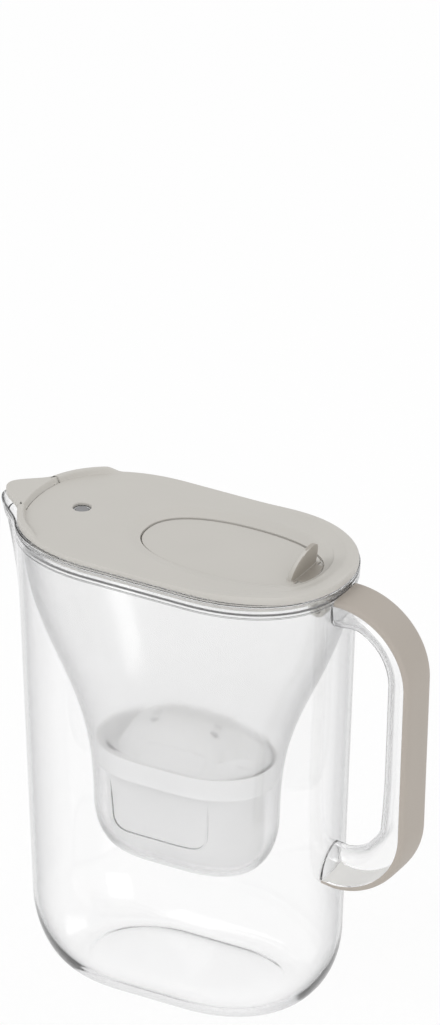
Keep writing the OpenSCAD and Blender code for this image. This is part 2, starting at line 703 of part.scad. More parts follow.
module indicator_housing() {
    edge = 2;
    color(white_plastic)
    at_indicator()
    union() {
        rotate_extrude($fn = 96)
        polygon(concat(
            [[seat_r, 0], [ind_r, 0]],
            [for (t = [0:15:90]) [ind_r - ind_taper - edge + edge * cos(t), ind_h - edge + edge * sin(t)]],
            [[button_r + near_gap, ind_h], [button_r + near_gap, ind_h - top_t],
             [ind_inner, ind_h - top_t], [ind_inner, base_t], [seat_r, base_t]]));
        for (a = [60:120:300])
            rotate(a) translate([post_at, 0, board_top])
            cylinder(r = post_r, h = ind_h - top_t - board_top + 0.4, $fn = 24);
    }
}

module indicator_base() {
    groove_r = seat_r - 1;
    color(white_plastic)
    at_indicator()
    difference() {
        rotate_extrude($fn = 96)
        polygon([[0, 0], [seat_r - 0.2, 0], [seat_r - 0.2, 0.4], [groove_r, 0.4], [groove_r, 1.4],
            [seat_r - 0.2, 1.4], [seat_r - 0.2, base_t], [0, base_t]]);
        translate([-7, -0.8, -0.1])
        cube([14, 1.6, 0.9]);
    }
}

module indicator_seal() {
    cord_r = 0.45;
    color([0.2, 0.2, 0.2])
    at_indicator()
    translate([0, 0, 0.9])
    rotate_extrude($fn = 96)
    translate([seat_r - cord_r - 0.05, 0])
    circle(r = cord_r, $fn = 24);
}

module indicator_button() {
    flange_r = button_r + 1.4;
    color([0.45, 0.46, 0.47])
    at_indicator()
    rotate_extrude($fn = 64)
    polygon([[0, board_top + switch_h + plunger_h + button_travel + 0.05],
        [1.8, board_top + switch_h + plunger_h + button_travel + 0.05],
        [1.8, ind_h - top_t - 1.15], [flange_r, ind_h - top_t - 1.15], [flange_r, ind_h - top_t - 0.15],
        [button_r, ind_h - top_t - 0.15], [button_r, ind_h + 1.5], [button_r - 0.4, ind_h + 1.8],
        [0, ind_h + 1.8]]);
}

module indicator_board() {
    color([0.12, 0.35, 0.2])
    at_indicator()
    translate([0, 0, board_z])
    cylinder(r = ind_inner - 0.4, h = board_t, $fn = 64);
}

module indicator_switch() {
    side = 6;
    color([0.2, 0.2, 0.2])
    at_indicator()
    translate([0, 0, board_top])
    union() {
        translate([-side / 2, -side / 2, 0])
        cube([side, side, switch_h]);
        cylinder(r = 1.6, h = switch_h + plunger_h, $fn = 32);
    }
}

module indicator_leds() {
    led = [2, 1.2, 0.8];
    color([0.9, 0.95, 0.8])
    at_indicator()
    for (a = [0:120:240])
        rotate(a) translate([7.1 - led[0] / 2, -led[1] / 2, board_top])
        cube(led);
}

module indicator_light_guide() {
    color(frosted_plastic)
    at_indicator()
    rotate_extrude($fn = 64)
    polygon([[5.6, board_top + 1], [8.6, board_top + 1], [8.6, ind_h - top_t], [5.6, ind_h - top_t]]);
}

module indicator_coin_cell() {
    color([0.75, 0.76, 0.77])
    at_indicator()
    translate([0, 0, cell_z])
    union() {
        cylinder(r = cell_r, h = cell_h * 0.8, $fn = 64);
        cylinder(r = cell_r - 1.2, h = cell_h, $fn = 64);
    }
}

module indicator_cell_clip() {
    clip_w = 5;
    clip_len = cell_r + 0.4;
    color([0.8, 0.8, 0.78])
    at_indicator()
    translate([0, -clip_w / 2, cell_z - clip_t])
    union() {
        translate([-clip_len - clip_t, 0, 0])
        cube([2 * (clip_len + clip_t), clip_w, clip_t]);
        for (x = [-clip_len - clip_t, clip_len])
            translate([x, 0, 0])
            cube([clip_t, clip_w, clip_t + board_z - cell_z]);
    }
}

jug_body();
handle_frame();
handle_grip();
funnel();
cartridge_cup();
cartridge_cap();
cartridge_granules();
cartridge_top_mesh();
cartridge_bottom_mesh();
lid_cover();
lid_frame();
flip_flap();
spout_flap();
indicator_housing();
indicator_base();
indicator_seal();
indicator_button();
indicator_board();
indicator_switch();
indicator_leds();
indicator_light_guide();
indicator_coin_cell();
indicator_cell_clip();
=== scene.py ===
# %% [markdown]
# # Water filter pitcher with a flip lid
# This lesson dresses a pitcher for filtering tap water: a clear oval jug with a two-part handle,
# a clear funnel that hangs in the jug, a white filter cartridge in the funnel's pocket, and a
# grey-beige lid with a thumb flap, a small flap over the spout and a battery indicator.
# The rigid frame is already built and packed, so it is loaded first and never moved. Every new
# piece is worked out as a curved surface with numpy, in millimetres, and rides on a frame body.

import math

import bmesh
import bpy
import numpy as np
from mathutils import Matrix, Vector


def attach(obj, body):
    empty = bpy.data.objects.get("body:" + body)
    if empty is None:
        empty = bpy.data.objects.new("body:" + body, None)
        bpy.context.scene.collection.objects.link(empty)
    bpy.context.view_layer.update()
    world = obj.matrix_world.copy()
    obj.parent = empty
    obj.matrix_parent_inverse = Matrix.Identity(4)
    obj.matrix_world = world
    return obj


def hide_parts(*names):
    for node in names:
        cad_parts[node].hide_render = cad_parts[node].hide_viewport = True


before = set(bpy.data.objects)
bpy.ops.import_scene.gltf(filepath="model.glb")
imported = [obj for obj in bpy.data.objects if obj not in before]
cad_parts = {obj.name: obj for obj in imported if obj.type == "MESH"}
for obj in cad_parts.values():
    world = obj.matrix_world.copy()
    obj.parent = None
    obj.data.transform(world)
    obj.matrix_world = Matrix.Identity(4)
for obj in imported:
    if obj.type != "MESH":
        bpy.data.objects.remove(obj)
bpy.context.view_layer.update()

# %% [markdown]
# ## Surfaces of two parameters
# All the pieces have the same oval plan, so one function makes level rings of it. Its points are
# spread evenly along the edge, which keeps the quads of neighbouring rings in line. A stack of
# rings is a grid, and a grid turns into faces with whole arrays.

# %% Rings and grids
MM = 0.001  # metres in a millimetre
QUARTER = 48  # steps round a quarter of a ring
FINE = 181  # points worked out on a quarter before they are spread evenly
END_POWER = 2.2  # power of the superellipse at the ends of jug, funnel, cartridge and lid
SIDE_PART = 0.45  # the largest part of a side that one rounded corner takes


def ease(t):
    """Smooth step: 0 below 0, 1 above 1, and 3 t squared less 2 t cubed between."""
    u = np.clip(t, 0, 1)
    return u * u * (3 - 2 * u)


def oval(a, b, e, z, x=0.0, p=END_POWER, quarter=QUARTER):
    """Level rings of half length a and half width b. Each end is a superellipse of reach e: at
    angle t its point is (a - e + e cos(t)^(2/p), b sin(t)^(2/p)), and straight sides join them.
    The points are then spread evenly by length over each quarter."""
    t = np.linspace(0, np.pi / 2, FINE)
    c, s = np.cos(t) ** (2 / p), np.sin(t) ** (2 / p)
    share = np.linspace(0, 1, quarter + 1)
    rings = []
    for ra, rb, re, rz, rx in zip(*[v.ravel() for v in np.broadcast_arrays(a, b, e, z, x)]):
        px = np.append(ra - re + re * c, 0)
        py = np.append(rb * s, rb)
        run = np.append(0, np.cumsum(np.hypot(np.diff(px), np.diff(py))))
        along = share * run[-1]
        qx, qy = np.interp(along, run, px), np.interp(along, run, py)
        half_x = np.concatenate([qx, -qx[-2::-1]])
        half_y = np.concatenate([qy, qy[-2::-1]])
        plan_x = np.concatenate([half_x, half_x[-2:0:-1]]) + rx
        plan_y = np.concatenate([half_y, -half_y[-2:0:-1]])
        rings.append(np.stack([plan_x, plan_y, np.full(len(plan_x), rz)], axis=-1))
    return np.array(rings)


def end_share(across, half):
    """What a ring's end keeps of one half axis at a distance across along the other, of length
    half: (1 - (across / half)^p)^(1 / p)."""
    return (1 - (np.abs(across) / half) ** END_POWER) ** (1 / END_POWER)


def rounded(path, reach, closed=False, steps=6):
    """A path whose corners are turned into small curves. Each corner C becomes the curve
    (1-t)^2 A + 2t(1-t) C + t^2 B, where A and B lie at most reach away on its two sides."""
    path = np.asarray(path, float)
    to_last, to_next = np.roll(path, 1, 0) - path, np.roll(path, -1, 0) - path
    last_len = np.maximum(np.linalg.norm(to_last[:, :2], axis=1), 1e-9)
    next_len = np.maximum(np.linalg.norm(to_next[:, :2], axis=1), 1e-9)
    reach = np.broadcast_to(reach, last_len.shape)
    r = np.minimum(reach, SIDE_PART * np.minimum(last_len, next_len))
    a = path + to_last * (r / last_len)[:, None]
    b = path + to_next * (r / next_len)[:, None]
    t = np.linspace(0, 1, steps)[None, :, None]
    curve = (1 - t) ** 2 * a[:, None] + 2 * t * (1 - t) * path[:, None] + t * t * b[:, None]
    points = curve.reshape(-1, path.shape[1])
    if not closed:
        points = np.vstack([path[:1], points[steps:-steps], path[-1:]])
    step = np.linalg.norm(np.diff(points, axis=0), axis=1)
    return points[np.append(True, step > 1e-6)]


def skin(grid, ring=True, tube=False, flip=False):
    """Points and quads of a grid of rows. ring joins each row's ends, and tube joins the last
    row to the first. Rows that run anticlockwise and climb face outwards."""
    m, n = grid.shape[:2]
    rows, columns = np.arange(m if tube else m - 1), np.arange(n if ring else n - 1)
    r, c = np.meshgrid(rows, columns, indexing="ij")
    r1, c1 = (r + 1) % m, (c + 1) % n
    quads = np.stack([r * n + c, r * n + c1, r1 * n + c1, r1 * n + c], axis=-1).reshape(-1, 4)
    return grid.reshape(-1, 3), quads[:, ::-1] if flip else quads


def folded(ring, flip=False):
    """A cap over a ring: it pairs point i with point n - i across the ring, as a fold does."""
    n = len(ring)
    i = np.arange(n // 2 + 1)
    return skin(np.stack([ring[i], ring[(n - i) % n]]), ring=False, flip=flip)


def capped(grid):
    """A tube of rings with a folded cap on its first and its last ring."""
    return [skin(grid), folded(grid[0], flip=True), folded(grid[-1])]


print("points on a ring:", oval(10, 5, 4, 0).shape[1])

# %% [markdown]
# ## Turned, boxed and swept forms
# Pins, buttons and caps are turned on a lathe in real life, so a profile spun about a line makes
# them. Lugs and ribs are blocks with soft edges, because a moulded edge is never sharp.

# %% Forms for small parts
ALONG = {"z": np.eye(3), "y": np.array([[1, 0, 0], [0, 0, -1], [0, 1, 0]], float)}


def turned(profile, at, along="z", count=96, tube=False):
    """A profile of rows (radius r, height h) spun about a line: the point at angle u is
    (r cos u, r sin u, h), turned so that h runs along the named axis. tube joins the profile's
    last row to its first."""
    r, h = np.asarray(profile, float).T
    u = np.linspace(0, 2 * np.pi, count, endpoint=False)
    grid = np.stack([np.outer(r, np.cos(u)), np.outer(r, np.sin(u)),
                     np.outer(h, np.ones(count))], axis=-1)
    return skin(grid @ ALONG[along] + np.asarray(at, float), tube=tube)


def rod(at, r, length, along="y", edge=0.2, count=48):
    """A round pin of radius r with softened ends, centred at a point."""
    h = length / 2
    return turned(rounded([(0, -h), (r, -h), (r, h), (0, h)], edge), at, along, count)


def block(lo, hi, edge=0.4):
    """A box whose rings are rectangles with rounded corners. The rings shrink by d to a line at
    the top and the bottom, and the path of d and z has rounded corners too."""
    lo, hi = np.asarray(lo, float), np.asarray(hi, float)
    mid, half = (lo + hi) / 2, (hi - lo) / 2
    most = min(half[:2])
    d, z = rounded([(most, -half[2]), (0, -half[2]), (0, half[2]), (most, half[2])], edge).T
    corner = np.array([(1, -1), (1, 1), (-1, 1), (-1, -1)], float)
    to_last = np.sign(np.roll(corner, 1, 0) - corner)
    to_next = np.sign(np.roll(corner, -1, 0) - corner)
    size = (half[:2] - d[:, None])[:, None, None]
    reach = (edge * (1 - d / most))[:, None, None, None]
    t = np.linspace(0, 1, 5)[None, :, None]
    bend = (1 - t) ** 2 * to_last[:, None] + t * t * to_next[:, None]
    plan = size * corner[:, None][None] + reach * bend[None]
    plan = plan.reshape(len(d), -1, 2) + mid[:2]
    high = np.broadcast_to((z + mid[2])[:, None, None], plan.shape[:2] + (1,))
    return skin(np.concatenate([plan, high], axis=-1))


def swept(path, normals, section):
    """A section of rows (out, side) carried along a path in the XZ plane: the point is the path
    plus out times its normal, at half width side. Folded caps close the two ends."""
    section = np.asarray(section, float)
    grid = np.zeros((len(path), len(section), 3))
    grid[..., 0] = path[:, None, 0] + section[None, :, 0] * normals[:, None, 0]
    grid[..., 2] = path[:, None, 1] + section[None, :, 0] * normals[:, None, 1]
    grid[..., 1] = section[None, :, 1]
    return capped(grid)


print("a block has", len(block((0, 0, 0), (5, 5, 5))[1]), "quads")

# %% [markdown]
# ## From arrays to a piece
# Blender takes whole arrays through foreach_set. Points that coincide are merged, which closes
# the poles and joins the caps. Cuts, such as slots and holes, are made with a Boolean modifier
# whose result is kept as the mesh.

# %% Making, cutting and placing pieces
WELD, SPECK = 2e-6, 1e-7  # metres: points nearer than WELD are one, edges under SPECK are lost


def joined(shells):
    """Several shells, each (points, quads), as one: the indices of each shell move on by the
    number of points before it."""
    start = np.cumsum([0] + [len(points) for points, _ in shells])
    moved = [quads + first for (_, quads), first in zip(shells, start)]
    return np.vstack([points for points, _ in shells]), np.vstack(moved)


def mesh_of(name, shells):
    """One mesh from a list of shells, put in as whole arrays and welded where points coincide."""
    points, quads = joined(shells)
    mesh = bpy.data.meshes.new(name)
    mesh.vertices.add(len(points))
    mesh.vertices.foreach_set("co", (points * MM).ravel())
    mesh.loops.add(quads.size)
    mesh.loops.foreach_set("vertex_index", quads.ravel())
    mesh.polygons.add(len(quads))
    mesh.polygons.foreach_set("loop_start", np.arange(0, quads.size, quads.shape[1]))
    mesh.update(calc_edges=True)
    soft = bmesh.new()
    soft.from_mesh(mesh)
    bmesh.ops.remove_doubles(soft, verts=soft.verts, dist=WELD)
    bmesh.ops.dissolve_degenerate(soft, edges=soft.edges, dist=SPECK)
    soft.to_mesh(mesh)
    soft.free()
    return mesh


def shape(name, shells):
    """An object at the origin with its place in its mesh."""
    made = bpy.data.objects.new(name, mesh_of(name, shells))
    bpy.context.scene.collection.objects.link(made)
    return made


def combine(base, others, how):
    """Cuts or adds closed forms with Boolean modifiers and keeps the result as the mesh."""
    for k, form in enumerate(others):
        tool = shape(f"tool_{k}", [form])
        step = base.modifiers.new(how.lower(), "BOOLEAN")
        step.operation, step.solver, step.object = how, "EXACT", tool
        solid = base.evaluated_get(bpy.context.evaluated_depsgraph_get())
        kept = bpy.data.meshes.new_from_object(solid)
        base.modifiers.clear()
        base.data = kept
        bpy.data.objects.remove(tool)
    return base


def place(piece, body, slot, material, *nodes, sharp=32):
    """Finishes a piece: smooth shading with sharp creases, its material, and what it stands for."""
    piece.data.shade_smooth()
    piece.data.set_sharp_from_angle(angle=math.radians(sharp))
    piece.data.materials.clear()
    piece.data.materials.append(material)
    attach(piece, body)
    if nodes:
        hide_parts(*nodes)
    print(piece.name, "faces:", len(piece.data.polygons))
    return piece


# %% [markdown]
# ## Materials
# Each finish is named for what it really is. Colours are written as sRGB hex and turned to linear
# light by one function, and one small function adds a node with its settings and links.

# %% Colour and node helpers
def colour(hex_code):
    """sRGB hex to linear light: below 0.04045 it is c / 12.92, above ((c + 0.055) / 1.055)^2.4."""
    c = np.array([int(hex_code[i : i + 2], 16) for i in (1, 3, 5)]) / 255
    linear = np.where(c <= 0.04045, c / 12.92, ((c + 0.055) / 1.055) ** 2.4)
    return (*linear.tolist(), 1.0)


def node(tree, kind, settings=None, inputs=None):
    """Adds one node. A socket among the inputs is linked, and anything else is its value."""
    made = tree.nodes.new(kind)
    for name, value in (settings or {}).items():
        setattr(made, name, value)
    for name, value in (inputs or {}).items():
        if isinstance(value, bpy.types.NodeSocket):
            tree.links.new(value, made.inputs[name])
        else:
            made.inputs[name].default_value = value
    return made


def blank(name):
    """A new material with an empty node tree and its output."""
    material = bpy.data.materials.new(name)
    material.use_nodes = True
    tree = material.node_tree
    tree.nodes.clear()
    return material, tree, node(tree, "ShaderNodeOutputMaterial")


# %% [markdown]
# ### Clear SAN plastic
# Jug and funnel are styrene acrylonitrile, injection moulded and polished. Seen face on it is
# nearly invisible, and seen along the wall it turns grey, because light then crosses much more
# of it. So the grey sits in a volume. Lamps and soft light go straight through to whatever stands
# inside, as they nearly do in a thin clear wall, so that a white piece in it stays white.

# %% Clear plastics
TINT_FROM = 0.3  # where the rim's tint begins, between 0, seen face on, and 1, seen along the wall
PASSED = (0.975, 0.975, 0.975, 1)  # what is left of light that goes straight through


def clear_plastic(name, face, rim, roughness, grey, density, ior=1.57):
    """Glass-like plastic. Its tint goes smoothly from face, seen straight on, to rim, seen along
    the wall, and light is lost by density times (1 - grey) for each metre inside."""
    material, tree, output = blank(name)
    slant = node(tree, "ShaderNodeLayerWeight", None, {"Blend": 0.5}).outputs["Facing"]
    along = node(tree, "ShaderNodeMapRange", {"interpolation_type": "SMOOTHSTEP"}, {
        "Value": slant, "From Min": TINT_FROM, "From Max": 1.0})
    tint = node(tree, "ShaderNodeMix", {"data_type": "RGBA"}, {
        0: along.outputs[0], 6: colour(face), 7: colour(rim)})
    surface = node(tree, "ShaderNodeBsdfPrincipled", None, {
        "Base Color": tint.outputs[2], "Roughness": roughness, "IOR": ior,
        "Transmission Weight": 1.0})
    ray = node(tree, "ShaderNodeLightPath")
    lit = node(tree, "ShaderNodeMath", {"operation": "MAXIMUM"}, {
        0: ray.outputs["Is Shadow Ray"], 1: ray.outputs["Is Diffuse Ray"]})
    through = node(tree, "ShaderNodeBsdfTransparent", None, {"Color": PASSED})
    both = node(tree, "ShaderNodeMixShader", None, {
        0: lit.outputs[0], 1: surface.outputs[0], 2: through.outputs[0]})
    inside = node(tree, "ShaderNodeVolumeAbsorption", None, {
        "Color": colour(grey), "Density": density})
    tree.links.new(both.outputs[0], output.inputs["Surface"])
    tree.links.new(inside.outputs[0], output.inputs["Volume"])
    return material


CLEAR_SAN = clear_plastic("clear_san_polished", "#FFFFFF", "#ABABAD", 0.04, "#C2C2C4", 10)
SATIN_SAN = clear_plastic("clear_san_satin", "#FCFCFC", "#BEBEC0", 0.12, "#C6C6C8", 10)
print("clear plastics:", CLEAR_SAN.name, SATIN_SAN.name)

# %% [markdown]
# ### Moulded ABS, polypropylene and soft grip
# The lid is ABS from a tool with a fine spark-eroded grain: it hides scratches and spreads the
# highlight. The grip is a thermoplastic elastomer, rougher and warmer. Cartridge and indicator
# are polypropylene, which lets some light in, so that their edges never go dark.

# %% Opaque and milky plastics
PATCH = 40  # mm, the size of the slow change in colour


def moulded(name, hex_code, roughness, grain, depth, tint=0.03, **sockets):
    """Plastic with a moulded grain: noise of the given size in mm lifts the surface by depth mm,
    and a slow noise of 40 mm changes the colour by tint."""
    material, tree, output = blank(name)
    where = node(tree, "ShaderNodeTexCoord").outputs["Object"]
    fine = node(tree, "ShaderNodeTexNoise", None, {
        "Vector": where, "Scale": 1 / (grain * MM), "Detail": 2.0})
    slow = node(tree, "ShaderNodeTexNoise", None, {
        "Vector": where, "Scale": 1 / (PATCH * MM), "Detail": 1.0})
    base = colour(hex_code)
    dark = tuple(v * (1 - tint) for v in base[:3]) + (1.0,)
    light = tuple(min(1.0, v * (1 + tint)) for v in base[:3]) + (1.0,)
    tone = node(tree, "ShaderNodeMix", {"data_type": "RGBA"}, {
        0: slow.outputs["Fac"], 6: dark, 7: light})
    lift = node(tree, "ShaderNodeBump", None, {
        "Height": fine.outputs["Fac"], "Distance": depth * MM, "Strength": 1.0})
    surface = node(tree, "ShaderNodeBsdfPrincipled", None, {
        "Base Color": tone.outputs[2], "Roughness": roughness, "Normal": lift.outputs["Normal"],
        **sockets})
    tree.links.new(surface.outputs[0], output.inputs["Surface"])
    return material


MILKY = {"Subsurface Weight": 0.35, "Subsurface Radius": (0.006, 0.006, 0.006),
         "Subsurface Scale": 1.0}
LID_ABS = moulded("abs_moulded_greige", "#C6C3BD", 0.5, 0.9, 0.02, IOR=1.53)
# The thumb face's colour is the lid's greige darkened as painted shade, for the recess the fin
# stands in and the fin's shadow behind it.
FIN_PAINTED_SHADE = moulded("abs_thumb_face_painted_shade", "#A8A299", 0.5, 0.9, 0.02, IOR=1.53)
GRIP_TPE = moulded("tpe_soft_grip", "#B0A89F", 0.62, 0.7, 0.02, IOR=1.5)
CORE_PP = moulded("polypropylene_pale_core", "#F1F0ED", 0.4, 0.9, 0.01, 0.01, IOR=1.49)
WHITE_PP = moulded("polypropylene_white", "#FDFDFD", 0.36, 1.2, 0.01, 0.005, IOR=1.49, **MILKY)
print("lid, grip and cartridge:", LID_ABS.name, GRIP_TPE.name, WHITE_PP.name)

# %% [markdown]
# ## The jug
# A jug like this is one shot of clear plastic, so it is one closed skin: from the middle of its
# underside, round the foot, up the wall, over the collar and back down inside. The spout is a
# push on the rings near the rim, strongest in the middle of the front and gone 76 mm lower.

# %% Jug sizes and its skin
JUG_H, RIM_LEN, RIM_WID, RIM_END = 258.5, 95.2, 54.5, 67.0  # height, half axes, reach of an end
STEP, WALL, FLOOR, FOOT_H = 1.1, 2.0, 3.0, 40.0
TAPER_LEN, TAPER_WID, FOOT_LEN, FOOT_WID = 9.0, 3.0, 24.0, 16.0
COLLAR_H, COLLAR_WALL, SHOULDER = 7.2, 1.8, 2.4
LEDGE = JUG_H - COLLAR_H
WALL_LOW, WALL_TOP = FOOT_H + 4, LEDGE - 3.4
SPOUT_OUT, SPOUT_WID, SPOUT_DROP = 15.0, 28.0, 76.0
INNER = STEP + WALL


def spout_reach(y, z):
    """Outward push of the spout: 15 mm times cos squared across its width and a power of the
    height down its length."""
    across = np.cos(np.pi / 2 * np.clip(np.abs(y) / SPOUT_WID, 0, 1)) ** 2
    down = np.clip(1 - (JUG_H - z) / SPOUT_DROP, 0, 1) ** 1.2
    return SPOUT_OUT * across * down


def jug_grid(path):
    """Rings of the jug from rows (inset d, height z, foot share f, size share q). The oval gets
    9 mm shorter and 3 mm narrower down to the table, and the foot sweeps it in by 24 f along
    and 16 f across."""
    d, z, f, q = np.asarray(path, float).T
    t = (JUG_H - z) / JUG_H
    a, b = RIM_LEN - d - TAPER_LEN * t - FOOT_LEN * f, RIM_WID - d - TAPER_WID * t - FOOT_WID * f
    grid = oval(a, b, np.minimum(RIM_END - d - FOOT_LEN * f, a), z, quarter=60)
    grid[..., 0] -= np.where(grid[..., 0] < 0, spout_reach(grid[..., 1], grid[..., 2]), 0)
    grid[..., :2] *= q[:, None, None]
    return grid


def foot_rows(inset, low, count=19):
    """The foot's rounding as rows: at angle t the height is low + (40 - low)(1 - sin t) and the
    sweep is 1 - cos t."""
    t = np.radians(np.linspace(90, 0, count))
    return np.stack([np.full(count, inset), low + (FOOT_H - low) * (1 - np.sin(t)),
                     1 - np.cos(t), np.ones(count)], axis=1)


def wall_rows(inset, low, high, count=24):
    """Level rows of the wall, close together where the spout grows."""
    start = JUG_H - SPOUT_DROP
    z = np.append(np.linspace(low, start, 8)[:-1], np.linspace(start, high, count))
    return np.stack([np.full(len(z), inset), z, 0 * z, 1 + 0 * z], axis=1)


# Rows below: inset, height, share of the foot's sweep, share of the ring's size.
lip = rounded([
    (STEP, LEDGE - SHOULDER, 0, 1), (STEP, LEDGE - 0.6, 0, 1), (0, LEDGE, 0, 1), (0, JUG_H, 0, 1),
    (COLLAR_WALL, JUG_H, 0, 1), (COLLAR_WALL, LEDGE, 0, 1), (INNER, LEDGE, 0, 1),
    (INNER, LEDGE - SHOULDER, 0, 1)], [0, 0.5, 0.5, 0.7, 0.7, 0.5, 0.5, 0])
underside = [(STEP, 0.7, 1, 0), (STEP, 0.7, 1, 0.5), (STEP, 0.7, 1, 0.86), (STEP, 0.35, 1, 0.89),
             (STEP, 0, 1, 0.92)]
inside_floor = [
    (INNER, FLOOR, 1, 0.93), (INNER, FLOOR + 0.2, 1, 0.86), (INNER, FLOOR + 0.9, 1, 0.76),
    (INNER, FLOOR + 1.1, 1, 0.7), (INNER, FLOOR + 1.1, 1, 0.35), (INNER, FLOOR + 1.1, 1, 0)]
jug_path = np.vstack([
    underside, foot_rows(STEP, 0), wall_rows(STEP, WALL_LOW, WALL_TOP), lip,
    wall_rows(INNER, WALL_LOW, WALL_TOP)[::-1], foot_rows(INNER, FLOOR)[::-1], inside_floor])
jug = shape("jug_body_clear", [skin(jug_grid(jug_path))])
place(jug, "jug", "clear_jug", CLEAR_SAN, "jug_body")

# %% [markdown]
# ## The handle's clear frame and soft grip
# The handle is moulded with the jug as a half-round channel, and a soft grip on a pale core
# closes its open outer side. Both follow one line: out from the wall, round a bend, down, and
# back to the wall. So the line is worked out once, and two sections are carried along it.

# %% The handle's line
GRIP_TOP, GRIP_T, FRAME_T, ROOT_T, BOSS_T, HANDLE_HALF = 8.0, 3.8, 12.5, 17.5, 3.0, 12.0
BEND_TOP, BEND_LOW, OUT, LEAN, HANDLE_DROP = 44.0, 42.0, 139.3, 2.6, 177.0
GRIP_Z, LOW_Z = JUG_H - GRIP_TOP + GRIP_T, JUG_H - HANDLE_DROP
TOP_K, BACK_K, LOW_K, ROOT_K = 9, 14, 23, 25  # steps at which the parts of the line end
BEND_DEG = 10  # degrees that one step turns in a bend
ROOT_IN, ROOT_UP = 5.5, 1.2  # the last step: further in than the lower bend, and above it
NEAR = 0.3  # the air between pieces that lie against each other


def wall_x(y, z):
    """The body's outside at the handle end: the end arc of the oval at height z and half
    width y."""
    t = (JUG_H - z) / JUG_H
    b, e = RIM_WID - STEP - TAPER_WID * t, RIM_END - STEP
    return RIM_LEN - STEP - TAPER_LEN * t - e + e * end_share(y, b)


def bend(k, angle, radius, x, z):
    """Rows of a bend about (x, z): at normal angle t the point is (x + r cos t, z + r sin t)."""
    return np.stack([k, x + radius * np.cos(angle), z + radius * np.sin(angle), angle])


def handle_line():
    """Rows of step k, x, z and normal angle. Steps 0 to 9 are the upper bend, 9 to 14 the
    straight back, 14 to 23 the lower bend and 25 the lower wall."""
    k = np.linspace(0, TOP_K, 37)
    top = bend(k, np.radians(90 - BEND_DEG * k), BEND_TOP, OUT - BEND_TOP, GRIP_Z - BEND_TOP)
    k = np.linspace(TOP_K, BACK_K, 13)[1:-1]
    s = (k - TOP_K) / (BACK_K - TOP_K)
    fall = LOW_Z + BEND_LOW - GRIP_Z + BEND_TOP
    back = np.stack([k, OUT - LEAN * s, GRIP_Z - BEND_TOP + s * fall, 0 * s])
    k = np.linspace(BACK_K, LOW_K, 37)
    low = bend(k, np.radians(-BEND_DEG * (k - BACK_K)), BEND_LOW, OUT - LEAN - BEND_LOW,
               LOW_Z + BEND_LOW)
    end = [[ROOT_K], [OUT - LEAN - BEND_LOW - ROOT_IN], [LOW_Z + ROOT_UP], [-np.pi / 2]]
    return np.concatenate([top, back, low, end], axis=1).T


LINE = handle_line()
NORMAL = np.stack([np.cos(LINE[:, 3]), np.sin(LINE[:, 3])], axis=1)
print("steps along the handle:", len(LINE))

# %% The clear channel
AIR, CHANNEL_T, SUNK = 0.08, 2.4, 1.0  # under the grip, its wall, and its ends in the jug's wall
# Along the steps the grip gets thinner towards its foot, the channel deeper at its root and at
# the boss under the collar, and its section goes from squarish to round.
step_k = LINE[:, 0]
grip_deep = GRIP_T * (1 - 0.3 * ease((step_k - 18.2) / 7.8))
root, boss = ease((step_k - 11.96) / 5.98), ease(1 - step_k / 2.5)
frame_deep = FRAME_T + (ROOT_T - FRAME_T) * root + BOSS_T * boss
power = (2 / (3 - ease((step_k - 14.04) / 9.1)))[:, None]
turn = np.linspace(np.pi, 0, 33)


def carried(depth, side):
    """Grid of points at the given depths inside the handle's line and half widths across it."""
    x = LINE[:, 1, None] - depth * NORMAL[:, 0, None]
    z = LINE[:, 2, None] - depth * NORMAL[:, 1, None]
    return np.stack([x, side + 0 * x, z], axis=-1)


def to_wall(ring, off):
    """The same ring pushed along X until it lies on the jug's wall, off mm outside it."""
    return np.stack([wall_x(ring[:, 1], ring[:, 2]) + off, ring[:, 1], ring[:, 2]], axis=1)[None]


def closed_sweep(grid, off_top, off_low):
    """A carried section with both ends brought to the wall and capped."""
    top_end, low_end = to_wall(grid[0], off_top), to_wall(grid[-1], off_low)
    return capped(np.concatenate([top_end, grid[1:-1], low_end]))


def channel_side(half, depth):
    """One side of the channel: a superellipse of half width and depth, sin and cos of the turn
    raised to 2 / n, where n goes from 3 at the grip to 2 at the lower root."""
    c = np.cos(turn)[None]
    across = half * np.sign(c) * np.abs(c) ** power
    return across, depth[:, None] * np.sin(turn)[None] ** power


out_y, out_d = channel_side(HANDLE_HALF, frame_deep)
in_y, in_d = channel_side(HANDLE_HALF - CHANNEL_T, frame_deep - CHANNEL_T)
side = np.concatenate([out_y, in_y[:, ::-1]], axis=1)
deep = np.concatenate([out_d, in_d[:, ::-1]], axis=1)
frame_grid = carried(grip_deep[:, None] + AIR + deep, side)
channel = shape("handle_frame_clear", closed_sweep(frame_grid, -SUNK, -SUNK))
place(channel, "jug", "clear_handle", CLEAR_SAN, "handle_frame")

# %% The soft grip on its pale core
# The section's outer half is a flat crown with soft shoulders, and its inner half is flat. Its
# side goes as cos to the power 0.4, which draws the corners out.
u = np.linspace(0, 2 * np.pi, 64, endpoint=False)
crown = np.where(u < np.pi + 1e-9, 1 - np.abs(np.sin(u)) ** 0.5, 1.0)
grip_side = HANDLE_HALF * np.sign(np.cos(u)) * np.abs(np.cos(u)) ** 0.4
grip_grid = carried(grip_deep[:, None] * crown, grip_side)
grip = shape("handle_grip_soft", closed_sweep(grip_grid, STEP + NEAR, NEAR))
place(grip, "jug", "taupe_grip", GRIP_TPE, "handle_grip")
grip.data.materials.append(CORE_PP)
INWARD = -0.9  # faces this far against the line's normal are the core's


def nearest_normal(points):
    """The handle line's normal at the row that lies closest to each point."""
    gap = np.linalg.norm(points[:, None, ::2] / MM - LINE[None, :, 1:3], axis=2)
    return NORMAL[gap.argmin(axis=1)]


